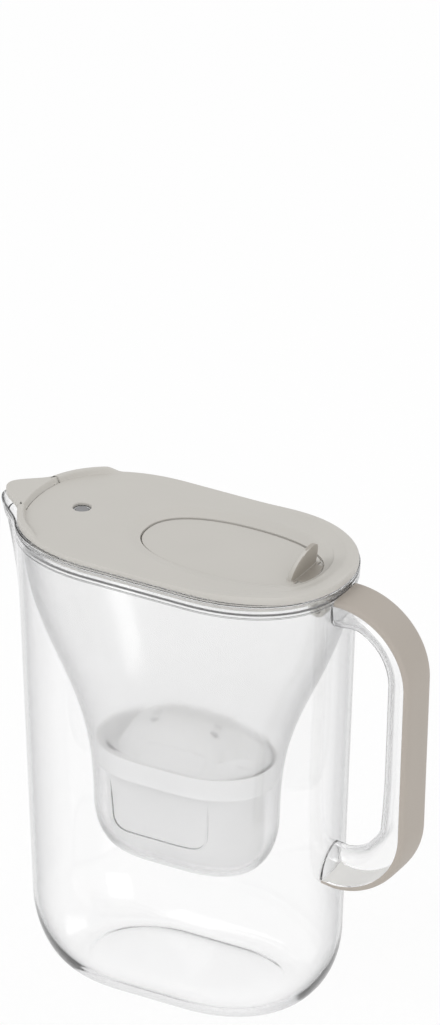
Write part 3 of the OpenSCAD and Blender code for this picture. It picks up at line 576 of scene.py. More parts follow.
def faces_of(piece):
    """Middles and normals of a piece's faces."""
    middle, facing = np.zeros(len(piece.data.polygons) * 3), np.zeros(len(piece.data.polygons) * 3)
    piece.data.polygons.foreach_get("center", middle)
    piece.data.polygons.foreach_get("normal", facing)
    return middle.reshape(-1, 3), facing.reshape(-1, 3)


middle, facing = faces_of(grip)
inward = np.sum(facing[:, ::2] * nearest_normal(middle), axis=1) < INWARD
grip.data.polygons.foreach_set("material_index", inward.astype(np.int32))
print("faces of the pale core:", int(inward.sum()))

# %% [markdown]
# ## The funnel
# The funnel hangs by its collar in the jug's mouth, and narrows to a pocket that grips the
# cartridge. A rational blend w / (w + (1 - t)^2) with w = t^2 takes the mouth to the pocket: it is
# slow at both ends and quick in the middle, as the drawn-in waist of the real one is.

# %% Funnel sizes and rings
RIM_Z = JUG_H + NEAR
F_WALL, F_DEEP, POCKET_H = 1.6, 186.0, 28.0
COLLAR_IN, NECK_IN, STEP_Z = 2.1, 3.5, LEDGE + 2
CART_LEN, CART_WID, CART_END = 50.8, 30.5, 40.0
CART_PLAY, RIB_H, CART_H, SKIRT_H = 0.45, 2.7, 60.7, 12.5
WAIST_FROM, WAIST_RUN = 10.4, 169.0  # where the waist's blend begins above the rim, and its length
DRAFT, SIDE_DRAFT = 2.8, 0.6  # how much the funnel narrows to its floor, and the sides' share
SWEEP_LEN, SWEEP_WID = 14.5, 15.5  # how far the pocket's foot sweeps in
FLOOR_DEEP = F_DEEP - F_WALL
FIT = FLOOR_DEEP - RIB_H - CART_H + SKIRT_H


def mouth_share(depth):
    """Share of the mouth's size left at a depth: one less w / (w + (1 - t)^2), with w = t^2."""
    t = np.minimum(1, (depth + WAIST_FROM) / WAIST_RUN)
    return 1 - t * t / (t * t + (1 - t) ** 2)


def pocket_size(cart, mouth, k):
    """The pocket's size that leaves the play round the cartridge's skirt at depth FIT."""
    share = mouth_share(FIT)
    fitted = cart + CART_PLAY + F_WALL + k * DRAFT * FIT / F_DEEP
    return (fitted - (mouth - NECK_IN) * share) / (1 - share)


POCKET = [pocket_size(CART_LEN, RIM_LEN, 1), pocket_size(CART_WID, RIM_WID, SIDE_DRAFT),
          pocket_size(CART_END, RIM_END, 1)]


def funnel_rows(depth, inset, foot=0.0, q=1.0):
    """Rows (b, z, a, e, q) of the funnel at a depth below its rim."""
    depth, inset, foot, q = [v.ravel() for v in np.broadcast_arrays(depth, inset, foot, q)]
    s, n = mouth_share(depth), DRAFT * depth / F_DEEP
    a, b, e = [size + (mouth - NECK_IN - size) * s - n * narrow - foot * sweep - inset
               for size, mouth, narrow, sweep in zip(
                   POCKET, (RIM_LEN, RIM_WID, RIM_END), (1, SIDE_DRAFT, 1),
                   (SWEEP_LEN, SWEEP_WID, SWEEP_LEN))]
    return np.stack([b, RIM_Z - depth, a, np.minimum(e, a), q], axis=1)


def collar_row(z, d):
    """Row of the funnel's collar, d inside the rim's oval."""
    return np.array([[RIM_WID - d, z, RIM_LEN - d, RIM_END - d, 1.0]])


def foot_arc(low, high, wall, count=17):
    """Rows of the pocket's rounded bottom, from its flat floor up to the wall."""
    t = np.radians(np.linspace(90, 0, count))
    return funnel_rows(low - high * (1 - np.sin(t)), wall, 1 - np.cos(t))


def rows_to_rings(rows, quarter=QUARTER):
    """Rings from rows (b, z, a, e, q)."""
    b, z, a, e, q = rows.T
    grid = oval(a, b, e, z, quarter=quarter)
    grid[..., :2] *= q[:, None, None]
    return grid


print("pocket half sizes in mm:", [round(v, 1) for v in POCKET])

# %% The funnel's skin, drain and ribs
levels = np.linspace(F_DEEP - POCKET_H, 12, 44)
neck = rounded(np.vstack([
    funnel_rows(11.0, 0), funnel_rows(7.5, 0), collar_row(LEDGE, COLLAR_IN),
    collar_row(RIM_Z, COLLAR_IN), collar_row(RIM_Z, COLLAR_IN + F_WALL),
    collar_row(STEP_Z, COLLAR_IN + F_WALL), funnel_rows(6.9, F_WALL),
    funnel_rows(11.0, F_WALL)]), [0, 0.4, 0.5, 0.6, 0.6, 0.6, 0.4, 0])
funnel_path = np.vstack([
    funnel_rows(F_DEEP, 0, 1, 0.0), funnel_rows(F_DEEP, 0, 1, 0.6), foot_arc(F_DEEP, POCKET_H, 0),
    funnel_rows(levels[1:], 0), neck, funnel_rows(levels[:0:-1], F_WALL),
    foot_arc(FLOOR_DEEP, POCKET_H - F_WALL, F_WALL)[::-1],
    funnel_rows(FLOOR_DEEP, F_WALL, 1, 0.6), funnel_rows(FLOOR_DEEP, F_WALL, 1, 0.0)])
funnel = shape("funnel_satin", [skin(rows_to_rings(funnel_path, quarter=56))])
floor_z = RIM_Z - F_DEEP
DRAIN_PITCH, DRAIN_HALF, RIB_HALF = 9.0, 1.7, 1.0
drains = [block((x - DRAIN_HALF, -10, floor_z - 1), (x + DRAIN_HALF, 10, floor_z + 4), 1.5)
          for x in DRAIN_PITCH * np.array([-1, 0, 1])]
combine(funnel, drains, "DIFFERENCE")
rib_top = floor_z + F_WALL + RIB_H
ribs = [block((x - RIB_HALF, -8.5, floor_z + 0.4), (x + RIB_HALF, 8.5, rib_top), 0.4)
        for x in DRAIN_PITCH * np.array([-1.5, -0.5, 0.5, 1.5])]
combine(funnel, ribs, "UNION")
print("drain slots and ribs:", len(drains), len(ribs))

# %% [markdown]
# ### The bead of the funnel's panel
# A low bead runs down, across and up again on the pocket's side. It is a thin tube carried along
# a line that lies on the funnel's own surface, half sunk in it, and it fades out at both ends.

# %% The bead
BEAD_R, BEAD_END, BEAD_FADE = 0.5, 0.05, 12.0  # its radius, what is left at the ends, the fade


def on_funnel(x, depth):
    """Points on the near outside of the funnel at given x and depth below its rim."""
    sine = np.clip(1 - (F_DEEP - depth) / POCKET_H, 0, 1)
    b, z, a, e, _ = funnel_rows(depth, 0, 1 - np.sqrt(1 - sine**2)).T
    return np.stack([x, -b * end_share(np.clip(np.abs(x) - a + e, 0, None), e), z], axis=1)


def unit(rows):
    """Rows divided by their own lengths."""
    return rows / np.linalg.norm(rows, axis=1)[:, None]


panel = [(-28.6, 136), (-26.4, 163.8), (28.4, 163.8), (29.6, 136)]  # corners: x and depth
corners = rounded(panel, [0, 9, 9, 0], steps=24)
run = np.append(0, np.cumsum(np.hypot(*np.diff(corners, axis=0).T)))
even = np.linspace(0, run[-1], 90)
line = on_funnel(np.interp(even, run, corners[:, 0]), np.interp(even, run, corners[:, 1]))
ahead = unit(np.gradient(line, axis=0))
off = unit(np.cross(ahead, [[0, -1, 0]]))
phi = np.linspace(0, 2 * np.pi, 12, endpoint=False)[None, :, None]
thick = BEAD_R * ease(np.minimum(even, run[-1] - even) / BEAD_FADE) + BEAD_END
round_it = np.cos(phi) * np.cross(off, ahead)[:, None] + np.sin(phi) * off[:, None]
combine(funnel, [joined(capped(line[:, None] + thick[:, None, None] * round_it))], "UNION")
place(funnel, "funnel", "frosted_funnel", SATIN_SAN, "funnel")

# %% [markdown]
# ## The filter cartridge
# The cartridge is a cup of milky polypropylene with a wide rim, and a domed cap snapped into it.
# Water goes in by the slots in the dome, down through the granules, and out by slots underneath.

# %% Cartridge sizes and the cup
CART_Z = RIM_Z - FLOOR_DEEP + RIB_H + CART_H
C_WALL, SKIRT_IN, DECK, C_ROUND, C_TAPER, C_QUARTER = 1.3, 4.0, -1.4, 8.0, 2.2, 40
C_LOW, C_HIGH, C_NECK = -46, -24, -20  # heights on the body, from the rim
OUTLET_PITCH, OUTLET_HALF = 8.0, 1.2


def cart_rows(z, d, q=1.0):
    """Rows (b, z, a, e, q) of the cartridge's oval, d inside its rim at height z from the rim."""
    z, d, q = [v.ravel() for v in np.broadcast_arrays(np.asarray(z, float), d, q)]
    return np.stack([CART_WID - d, CART_Z + z, CART_LEN - d, CART_END - d, q], axis=1)


def body_rows(z, inset, t=0.0, q=1.0):
    """Rows of the cartridge's body: it stands in from the rim's skirt and narrows downwards, and
    the bottom edge's rounding adds 8 (1 - cos t)."""
    z, t = np.asarray(z, float), np.asarray(t, float)
    narrow = SKIRT_IN + C_WALL + inset - C_TAPER * z / CART_H
    return cart_rows(z, narrow + C_ROUND * (1 - np.cos(t)), q)


def bottom_rows(low, high, inset, count=11):
    """Rows of the body's rounded bottom edge."""
    t = np.radians(np.linspace(90, 0, count))
    return body_rows(low + high * (1 - np.sin(t)), inset, t)


cup_rim = rounded(np.vstack([
    body_rows(C_NECK, 0), body_rows(DECK - C_WALL, 0), cart_rows(DECK - C_WALL, C_WALL),
    cart_rows(-SKIRT_H, C_WALL), cart_rows(-SKIRT_H, 0), cart_rows(0, 0), cart_rows(0, C_WALL),
    cart_rows(DECK, C_WALL), body_rows(DECK, C_WALL), body_rows(C_NECK, C_WALL)]),
    [0, 0.4, 0.4, 0.5, 0.5, 0.6, 0.6, 0.3, 0.3, 0])
cup_path = np.vstack([
    body_rows(-CART_H, 0, np.pi / 2, 0.0), bottom_rows(-CART_H, C_ROUND, 0),
    body_rows(np.linspace(C_LOW, C_HIGH, 6), 0), cup_rim,
    body_rows(np.linspace(C_HIGH, C_LOW, 6), C_WALL),
    bottom_rows(-CART_H + C_WALL, C_ROUND - C_WALL, C_WALL)[::-1],
    body_rows(-CART_H + C_WALL, C_WALL, np.pi / 2, 0.0)])
cup = shape("cartridge_cup_white", [skin(rows_to_rings(cup_path, quarter=C_QUARTER))])
cup_low = CART_Z - CART_H
outlets = [block((x - OUTLET_HALF, -8, cup_low - 1), (x + OUTLET_HALF, 8, cup_low + 2.2), 1.0)
           for x in OUTLET_PITCH * np.arange(-3, 4)]
combine(cup, outlets, "DIFFERENCE")
place(cup, "cartridge", "white_cartridge", WHITE_PP, "cartridge_cup")

# %% The domed cap's form
DOME_X, DOME_H, D_QUARTER = 6.8, 20.0, 72
PLATE = DECK + C_WALL
HOLLOW_X, HOLLOW_Y = 36.0, 13.5  # middle of a thumb hollow's crisp edge
EDGE_COS, EDGE_SIN = 0.73, 0.68  # direction of that edge


def hollow(x, y):
    """How far the crown stands lower at a point. u runs along the crisp edge of the thumb hollow
    on each side of the handle end, and v up the slope from it. The hollow is 2.6 mm deep and
    fades over 13 mm. Two grooves 0.9 mm deep lie below the edge, and a panel on each long side
    stands 0.35 mm out."""
    along, across = x - HOLLOW_X, HOLLOW_Y - np.abs(y)
    u = EDGE_COS * along + EDGE_SIN * across
    v = EDGE_COS * across - EDGE_SIN * along
    dent = 2.6 * ease(v / 1.2 + 0.5) * (1 - ease((v - 2) / 13)) * (1 - ease((np.abs(u) - 4) / 7))
    window = ease((u - 1) / 1.5) * (1 - ease((u - 10) / 1.5))
    grooves = 0.9 * window * sum(np.exp(-(((v - at) / 0.75) ** 2)) for at in (-2.6, -6.2))
    panel = 0.35 * (1 - ease((20.5 - np.abs(y)) / 1.2)) * (1 - ease((np.abs(x - 6) - 17) / 2))
    return dent + grooves - panel


def dome_grid(angle, wall):
    """Rings of the dome at angle t, all less the wall. With c = cos t and f = 1 - sin t its half
    length is 10 + 28.9 c + 3 f^5, its half width 4.5 + 5.9 c + 17.5 f and its height
    (20 - wall) sin t. Its foot sinks up to 2 mm at the two ends of the deck, and the hollows are
    cut between the foot and the crown."""
    c, f = np.cos(angle), 1 - np.sin(angle)
    a, b, e = 10 + 28.9 * c + 3 * f**5 - wall, 4.5 + 5.9 * c + 17.5 * f - wall, 8 + 23 * c - wall
    grid = oval(a, b, e, CART_Z + PLATE + (DOME_H - wall) * (1 - f), DOME_X, quarter=D_QUARTER)
    grid[..., 0] -= 1.2 * (f**5)[:, None]
    high = ease((1 - f) / 0.2)[:, None] * (1 - ease((1 - f - 0.93) / 0.05))[:, None]
    grid[..., 2] -= 2 * (f**4)[:, None] * ease((np.abs(grid[..., 0] - 5) - 26) / 9)
    grid[..., 2] -= high * hollow(grid[..., 0], grid[..., 1])
    return grid


# %% The cap and its slots
SNAP_IN, SNAP_OUT, PLATE_IN = 2.8, 1.4, 1.4  # insets of the snap ring and of the plate's edge
SLOT_LONG, SLOT_HALF = 4.6, 0.9
t_out = np.radians(np.linspace(0, 80, 61))
snap_z = DECK - 6 + 0.8
cap_rows = np.vstack([
    body_rows(DECK, SNAP_IN), body_rows(snap_z, SNAP_IN), body_rows(snap_z, SNAP_OUT),
    body_rows(DECK, SNAP_OUT), cart_rows(DECK, PLATE_IN), cart_rows(PLATE - 0.7, PLATE_IN)])
mid = np.array([DOME_X, 0, 0])
low_pole, top_pole = [(dome_grid(t_out[-1:], wall) - mid) * [0, 0, 1] + mid for wall in (C_WALL, 0)]
cap_grid = np.concatenate([
    low_pole, dome_grid(t_out[::-1], C_WALL), rows_to_rings(cap_rows, quarter=D_QUARTER),
    dome_grid(t_out, 0), top_pole])
cap = shape("cartridge_cap_white", [skin(cap_grid)])
slots = [block((x, s * y - SLOT_HALF, CART_Z + 8),
               (x + SLOT_LONG, s * y + SLOT_HALF, CART_Z + 30), 0.8)
         for x in (-15.4, 19.6) for y in (4.6, 9.0) for s in (-1, 1)]
combine(cap, slots, "DIFFERENCE")
place(cap, "cartridge", "white_cap", WHITE_PP, "cartridge_cap")

# %% [markdown]
# ## The lid
# The lid is a plate that rests on the funnel's rim, with a dish for the thumb flap, a raised lip
# round the spout end and a skirt underneath. Its plate is one ring-shaped skin, from the edge of
# the flap's hole out along the underside, round the edge and back over the top into the dish.

# %% Lid sizes and its cover
LID_Z, LID_H, COVER_T = RIM_Z, 2.5, 1.6
LID_TOP, COVER_Z = LID_Z + LID_H, LID_Z + LID_H - COVER_T
LID_IN, SIDE_IN, EDGE_OUT, END_RISE = 1.0, 2.2, 0.9, 2.0
SKIRT_OUT, SKIRT_INNER = 3.1, 4.6
FLAP_LEN, FLAP_WID, FLAP_X, FLAP_T, GAP, FLAP_POWER = 50.5, 27.0, 27.0, 2.0, 0.8, 2.3
DISH, DISH_W, STEP_UP = 2.6, 8.0, 0.55
DISH_Z = LID_TOP - DISH
LIP_H, LEDGE_T = 3.0, 1.1
POUR_WID, POUR_X, POUR_T, POUR_Z = 17.4, 88.0, 1.8, LID_TOP - 0.4
FLIP_X, FLIP_Z, KNUCKLE = FLAP_X + FLAP_LEN - 2.3, DISH_Z - FLAP_T / 2 - 0.3, 9.4
IND_X = 62.8  # how far the indicator stands from the middle
L_QUARTER = 60


def side_in(d):
    """How far the plate's long sides stand in: 2.2 mm at its edge, and nothing at the skirt."""
    return SIDE_IN * np.clip(1 - d / SKIRT_OUT, 0, 1)


def lid_grid(z, d, lip=0.0, end=0.0):
    """Rings of the lid, d inside its edge. lip is the share of the 3 mm that the spout end rises,
    and end the share of the 2 mm that the handle end does, each with a smooth step along X. The
    handle end of the plate's edge also stands out 0.9 mm, fading to nothing at the skirt."""
    g = LID_IN + np.atleast_1d(np.asarray(d, float))
    d = g - LID_IN
    grid = oval(RIM_LEN - g, RIM_WID - g - side_in(d), RIM_END - g,
                np.asarray(z, float) + 0 * g, quarter=L_QUARTER)
    x = grid[..., 0]
    grid[..., 2] += np.atleast_1d(lip)[:, None] * LIP_H * ease((-64 - x) / 8)
    grid[..., 2] += np.atleast_1d(end)[:, None] * END_RISE * ease((x - 10) / 60)
    grid[..., 0] += EDGE_OUT * np.clip(1 - d / SKIRT_OUT, 0, 1)[:, None] * ease((x - 50) / 40)
    return grid


def flap_grid(z, d):
    """Rings round the flap, d outside its edge: one superellipse of power 2.3."""
    d = np.atleast_1d(np.asarray(d, float))
    a, b = FLAP_LEN + d, FLAP_WID + d
    return oval(a, b, a, np.asarray(z, float) + 0 * d, FLAP_X, FLAP_POWER, quarter=L_QUARTER)


s = np.linspace(0, 1, 13)
edge = np.array([
    # z above the lid's seat, inset, share of the spout's lip, share of the handle end's rise
    (0, 0.2, 0, 0), (0.06, 0.06, 0, 0), (0.3, 0, 0, 0), (0.9, 0, 0.5, 1), (1.5, 0.1, 0.9, 1),
    (2, 0.4, 0.97, 1), (2.3, 0.8, 1, 1), (2.46, 1.4, 1, 1), (2.5, 2.2, 1, 1), (2.5, 3.0, 1, 1),
    (2.5, 3.5, 0.96, 0.99), (2.5, 3.9, 0.84, 0.98), (2.5, 4.2, 0.6, 0.97), (2.5, 4.5, 0.3, 0.96),
    (2.5, 4.7, 0.08, 0.95), (2.5, 4.85, 0, 0.94), (2.5, 5.8, 0, 0.9), (2.5, 6.8, 0, 0.66),
    (2.5, 8, 0, 0.4), (2.5, 9.5, 0, 0.15), (2.5, 11, 0, 0.03), (2.5, 12.5, 0, 0)])
cover_grid = np.concatenate([
    flap_grid(DISH_Z - COVER_T + DISH * ease(s), GAP + DISH_W * s),
    lid_grid([COVER_Z, LID_Z], [SKIRT_OUT - NEAR] * 2),
    lid_grid(LID_Z + edge[:, 0], *edge.T[1:]),
    flap_grid(DISH_Z + STEP_UP + (DISH - STEP_UP) * ease(s), GAP + DISH_W * s)[::-1]])
cover = shape("lid_cover_greige", [skin(cover_grid, tube=True)])
print("lid cover quads:", len(cover.data.polygons))

# %% [markdown]
# ### The cover's cuts and bosses
# The cover is cut along the spout flap's seam, and gets a ring that holds the indicator, a ledge
# on which the thumb flap lies, and bosses for the hinge pins. Additions come before holes, so
# that each hole goes through everything that it should.

# %% Helpers for the cuts
PIN_R, PLAY, KNUCKLE_R, AXLE_R = 1.0, 0.06, 1.3, 0.75
SEAM_BOW = 2.3  # how far the seam bows out between its two ends
SEAM_R = (POUR_WID**2 + SEAM_BOW**2) / (2 * SEAM_BOW)
SEAM_X = SEAM_R - (POUR_X - 1.8) - SEAM_BOW


def prism(outline, low, high):
    """An outline of two matched edges, one running up in Y and one back down, given a height."""
    ring = np.asarray(outline, float)
    grid = np.stack([np.column_stack([ring, np.full(len(ring), z)]) for z in (low, high)])
    n = len(ring)
    half = np.stack([np.arange(n // 2), n - 1 - np.arange(n // 2)])
    return [skin(grid), skin(grid[0][half], ring=False), skin(grid[1][half], ring=False, flip=True)]


def seam_edge(r, half, count=41):
    """The seam's arc of radius r about a centre inside the lid, from half width half to the
    other side."""
    y = np.linspace(half, -half, count)
    return np.stack([SEAM_X - np.sqrt(r * r - y * y), y], axis=1)


def points_of(made):
    """Points in mm and triangles of an object's mesh, as combine takes them. The object goes."""
    mesh = made.data
    mesh.calc_loop_triangles()
    points = np.zeros(len(mesh.vertices) * 3)
    corners = np.zeros(len(mesh.loop_triangles) * 3, np.int32)
    mesh.vertices.foreach_get("co", points)
    mesh.loop_triangles.foreach_get("vertices", corners)
    bpy.data.objects.remove(made)
    return points.reshape(-1, 3) / MM, corners.reshape(-1, 3)


print("radius of the spout flap's seam in mm:", round(SEAM_R, 1))

# %% Seam, ring, ledge, bosses and holes
EAR_R, EAR_W = PIN_R + 0.6, 3.4
arc = seam_edge(SEAM_R, POUR_WID + NEAR)
far = np.stack([np.full(len(arc), -RIM_LEN - SPOUT_OUT), arc[::-1, 1]], axis=1)
seam_cut = joined(prism(np.vstack([arc, far]), LID_Z - 1, LID_TOP + 5))
added, holes = [], []
for side_y in (-1, 1):
    boss_y = sorted([side_y * (KNUCKLE + 0.9), side_y * (KNUCKLE + 6.6)])
    added.append(block((FLIP_X - 3.1, boss_y[0], FLIP_Z - 2.1),
                       (FLIP_X + 2.2, boss_y[1], FLIP_Z + 0.8), 0.3))
    ear_y = side_y * (POUR_WID + NEAR + EAR_W / 2)
    added.append(rod((-POUR_X, ear_y, POUR_Z), EAR_R, EAR_W, edge=0.4))
    holes.append(rod((-POUR_X, side_y * (POUR_WID + 1), POUR_Z), AXLE_R + PLAY, 4.2, edge=0))
    holes.append(rod((FLIP_X, side_y * (KNUCKLE + 3), FLIP_Z), PIN_R + PLAY, 6.2, edge=0))
window = [(0, -4), (4.9, -4), (4.9, 1.4), (5.3, 1.9), (5.3, 4), (0, 4)]
holes.append(turned(window, (-IND_X, 0, LID_TOP - 1.9), count=72))
socket_path = rounded([(16.3, -6.8), (17.7, -6.8), (17.7, 0.4), (16.3, 0.4)], [0.4, 0.4, 0, 0],
                      closed=True)
socket_ring = turned(np.vstack([socket_path, socket_path[:1]]), (-IND_X, 0, COVER_Z))
combine(cover, [socket_ring], "UNION")
combine(cover, [seam_cut], "DIFFERENCE")
ledge_low = DISH_Z - FLAP_T - NEAR
ledge_path = rounded([
    (DISH_Z - 1.2, GAP + 1.5), (DISH_Z - 1.2, GAP + 0.02), (ledge_low, GAP + 0.02),
    (ledge_low, -1.5), (ledge_low - LEDGE_T, -1.5), (ledge_low - LEDGE_T, GAP + 1.5)], 0.25,
    closed=True)
ledge_grid = flap_grid(ledge_path[:, 0], ledge_path[:, 1])
ledge = shape("ledge", [skin(ledge_grid, tube=True, flip=True)])
hinge_room = block((FLIP_X - 8, -40, DISH_Z - 9), (FLIP_X + 30, 40, DISH_Z + 4), 0.1)
combine(ledge, [hinge_room], "DIFFERENCE")
combine(cover, [points_of(ledge)], "UNION")
combine(cover, added, "UNION")
combine(cover, holes, "DIFFERENCE")
place(cover, "lid", "lid_cover", LID_ABS, "lid_cover")

# %% [markdown]
# ### The lid's skirt and its two hooks
# The skirt is a second moulding under the plate. It sits a little inside the plate's edge, which
# gives the dark line round the lid, and its two hooks catch the funnel at the handle end.

# %% Skirt and hooks
SKIRT_LOW, LAP, LAP_T = -4.3, SKIRT_INNER + 2.4, 1.2
plate_low = LID_H - COVER_T
skirt_path = rounded([
    (SKIRT_LOW, SKIRT_INNER), (SKIRT_LOW, SKIRT_OUT), (plate_low, SKIRT_OUT), (plate_low, LAP),
    (plate_low - LAP_T, LAP), (plate_low - LAP_T, SKIRT_INNER)],
    [0.5, 0.6, 0.2, 0.2, 0.2, 0.3], closed=True)
skirt_grid = lid_grid(LID_Z + skirt_path[:, 0], skirt_path[:, 1])
skirt = shape("lid_frame_greige", [skin(skirt_grid, tube=True)])
HOOK_X, HOOK_R, HOOK_T, HOOK_HALF, HOOK_Z = 82.6, 4.4, 2.4, 3.0, LID_Z - 17.3 + 4.4
HOOK_Y, ARM_Z = 8.3, LID_Z - 3.1
turn_hook = np.linspace(-np.pi, 0, 25)
curl = np.stack([HOOK_X + (HOOK_R - HOOK_T / 2) * np.cos(turn_hook),
                 HOOK_Z + (HOOK_R - HOOK_T / 2) * np.sin(turn_hook)], axis=1)
stem_x = HOOK_X + HOOK_R - HOOK_T / 2
stem = rounded([(stem_x, HOOK_Z), (stem_x, ARM_Z), (HOOK_X + HOOK_R + 2.6, ARM_Z)], 1.6)
hook_path = np.vstack([curl[:-1], stem])
step_to = unit(np.gradient(hook_path, axis=0))
hook_out = np.stack([step_to[:, 1], -step_to[:, 0]], axis=1)
half_t = HOOK_T / 2
hook_section = rounded([(-half_t, HOOK_HALF), (half_t, HOOK_HALF), (half_t, -HOOK_HALF),
                        (-half_t, -HOOK_HALF)], 0.5, closed=True)
hook, hook_quads = joined(swept(hook_path, hook_out, hook_section))
combine(skirt, [(hook + [0, y, 0], hook_quads) for y in (-HOOK_Y, HOOK_Y)], "UNION")
spout_room = block((-RIM_LEN, -POUR_WID - 4, LID_Z - 0.4),
                   (-POUR_X + 6, POUR_WID + 4, LID_Z + 4), 0.1)
combine(skirt, [spout_room], "DIFFERENCE")
place(skirt, "lid", "lid_frame", LID_ABS, "lid_frame")

# %% [markdown]
# ## The thumb flap
# You lift the fin with a thumb and fill the funnel through the hole. The flap is a shallow plate
# and the fin a half disc that leans back, thick at its foot and thin at its tip. Its face carries
# painted shade.

# %% Plate, fin and hinge of the flap
FIN_H, FIN_WID, FIN_FOOT, FIN_TIP, FIN_LEAN, FIN_SUNK = 16.5, 13.0, 5.0, 2.4, 5.8, 0.4
plate_path = rounded([(FLAP_WID, -FLAP_T), (0, -FLAP_T), (0, 0), (FLAP_WID, 0)], [0, 0.3, 0.45, 0])
plate_rows = np.insert(plate_path, [1, len(plate_path) - 1], [(10, -FLAP_T), (10, 0)], axis=0)
flap = shape("flip_flap_greige", [skin(flap_grid(DISH_Z + plate_rows[:, 1], -plate_rows[:, 0]))])
relief = [block((FLIP_X - 3.4, low, DISH_Z - 4), (FLIP_X + 7, low + FLAP_WID, DISH_Z + 3), 0.4)
          for low in (KNUCKLE + 0.6, -KNUCKLE - 0.6 - FLAP_WID)]
combine(flap, relief, "DIFFERENCE")
# At share r of its height the fin is 13 sqrt(1 - r^2) wide to each side, just not closed at the
# tip, and it leans back by r^1.3.
rise = np.sin(np.linspace(0, np.pi / 2, 25))
fin_half = FIN_WID * np.sqrt(1 - (rise * 0.985) ** 2)
fin_thick = (FIN_FOOT + (FIN_TIP - FIN_FOOT) * rise) / 2
fin_grid = oval(fin_thick, fin_half, fin_thick, DISH_Z - FIN_SUNK + (FIN_H + FIN_SUNK) * rise,
                FLIP_X - 7 + FIN_LEAN * rise**1.3, 5, quarter=14)
knuckle = rod((FLIP_X, 0, FLIP_Z), KNUCKLE_R, 2 * KNUCKLE - 2)
combine(flap, [joined(capped(fin_grid)), knuckle], "UNION")
pins = [rod((FLIP_X, s_y * (6 + KNUCKLE + 5.8) / 2, FLIP_Z), PIN_R, KNUCKLE - 0.2)
        for s_y in (-1, 1)]
combine(flap, pins, "UNION")
place(flap, "flip_flap", "lid_flap", LID_ABS, "flip_flap")

# %% The thumb face's painted shade
# The fin's face towards the handle and the flat end of the plate behind it are painted darker:
# painted shade of the recess the fin stands in, and the fin's painted shadow on the plate.
flap.data.materials.append(FIN_PAINTED_SHADE)
middle, facing = faces_of(flap)
thumb = (facing[:, 0] > 0.5) & (middle[:, 2] > (DISH_Z + 0.3) * MM)
thumb |= (facing[:, 2] > 0.9) & (middle[:, 0] > (FLIP_X - 4.6) * MM)
flap.data.polygons.foreach_set("material_index", thumb.astype(np.int32))
print("faces of the thumb face:", int(thumb.sum()))

# %% [markdown]
# ## The spout flap
# Water pushes this small flap open and it falls shut again. Its outer edge follows the spout and
# its inner edge the seam's arc, so one strip between the two edges makes it.

# %% The spout flap's two edges
SEAM_GAP, TIP, TIP_WID = 0.5, 13.8, POUR_WID + 1.6


def lid_x(y):
    """Half length of the lid's edge at half width y."""
    return RIM_LEN - RIM_END + (RIM_END - LID_IN) * end_share(y, RIM_WID - LID_IN - SIDE_IN)


def pour_edges(count=41):
    """Outer and inner edge of the spout flap at the same half widths: the lid's edge pushed out
    by 13.8 mm times cos squared, and the seam's arc."""
    inner = seam_edge(SEAM_R + SEAM_GAP, POUR_WID, count)
    y = inner[:, 1]
    tip = TIP * np.cos(np.pi / 2 * y / TIP_WID) ** 2
    return np.stack([-lid_x(y) - tip, y], axis=1)[:, None], inner[:, None]


def pour_rows():
    """One closed section of the spout flap at each half width. w runs from its inner edge to its
    outer one. The top climbs 3 mm by a smooth step over the first 1.8 mm, which makes the lip's
    foot, and the underside follows it 1.8 mm lower, save at its two thick edges."""
    outer, inner = pour_edges()
    length = np.linalg.norm(outer - inner, axis=2)
    w = np.array([0.15, 0.3, 0.5, 0.7, 0.9, 1.15, 1.4, 1.7, 2.1, 2.7, 3.6])[None]
    out = np.array([2.6, 1.9, 1.3, 0.8, 0.4, 0.15])[None]
    middle_w = (3.6 + (length - 6.2) * np.linspace(0, 1, 7)[None, 1:-1])
    w = np.concatenate([w + 0 * length, middle_w, length - out], axis=1)
    from_out = length - w
    top = LID_TOP - NEAR + LIP_H * ease((w - 0.1) / 1.8) - 0.9 * (1 - ease(from_out / 1.3)) ** 2
    top -= 0.12 * (1 - ease(w / 0.3))
    low = LID_TOP - NEAR - POUR_T + LIP_H * ease((w - 2.2) / 1.4) * ease((from_out - 1.2) / 1.2)
    low += 0.12 * (1 - ease(w / 0.3)) + 0.2 * (1 - ease(from_out / 0.5))
    way = (outer - inner) / length[..., None]
    upper = np.concatenate([inner + way * w[..., None], top[..., None]], axis=2)
    lower = np.concatenate([inner + way * w[..., None], low[..., None]], axis=2)
    ends = [(0 * length[:, 0], 0), (length[:, 0], -1)]
    tips = [np.concatenate([inner + way * at[:, None, None],
                            (top[:, k] + low[:, k])[:, None, None] / 2], axis=2) for at, k in ends]
    return np.concatenate([tips[0], upper, tips[1], lower[:, ::-1]], axis=1)


print("points across the spout flap:", pour_rows().shape[1])

# %% The spout flap
# Its sections run along Y, so Blender works out which way is out, and its axles join it last.
pour = shape("spout_flap_greige", capped(pour_rows()))
outward = bmesh.new()
outward.from_mesh(pour.data)
bmesh.ops.recalc_face_normals(outward, faces=outward.faces)
outward.to_mesh(pour.data)
outward.free()
axles = [rod((-POUR_X, s_y * (POUR_WID - 0.35), POUR_Z), AXLE_R, 6.1) for s_y in (-1, 1)]
combine(pour, axles, "UNION")
place(pour, "spout_flap", "spout_flap", LID_ABS, "spout_flap")

# %% [markdown]
# ## The change indicator
# A small battery-powered counter hangs under the lid. Its housing is a milky cup that hides the
# board and the cell, and its grey button stands in the lid's window, just below the lid's top.

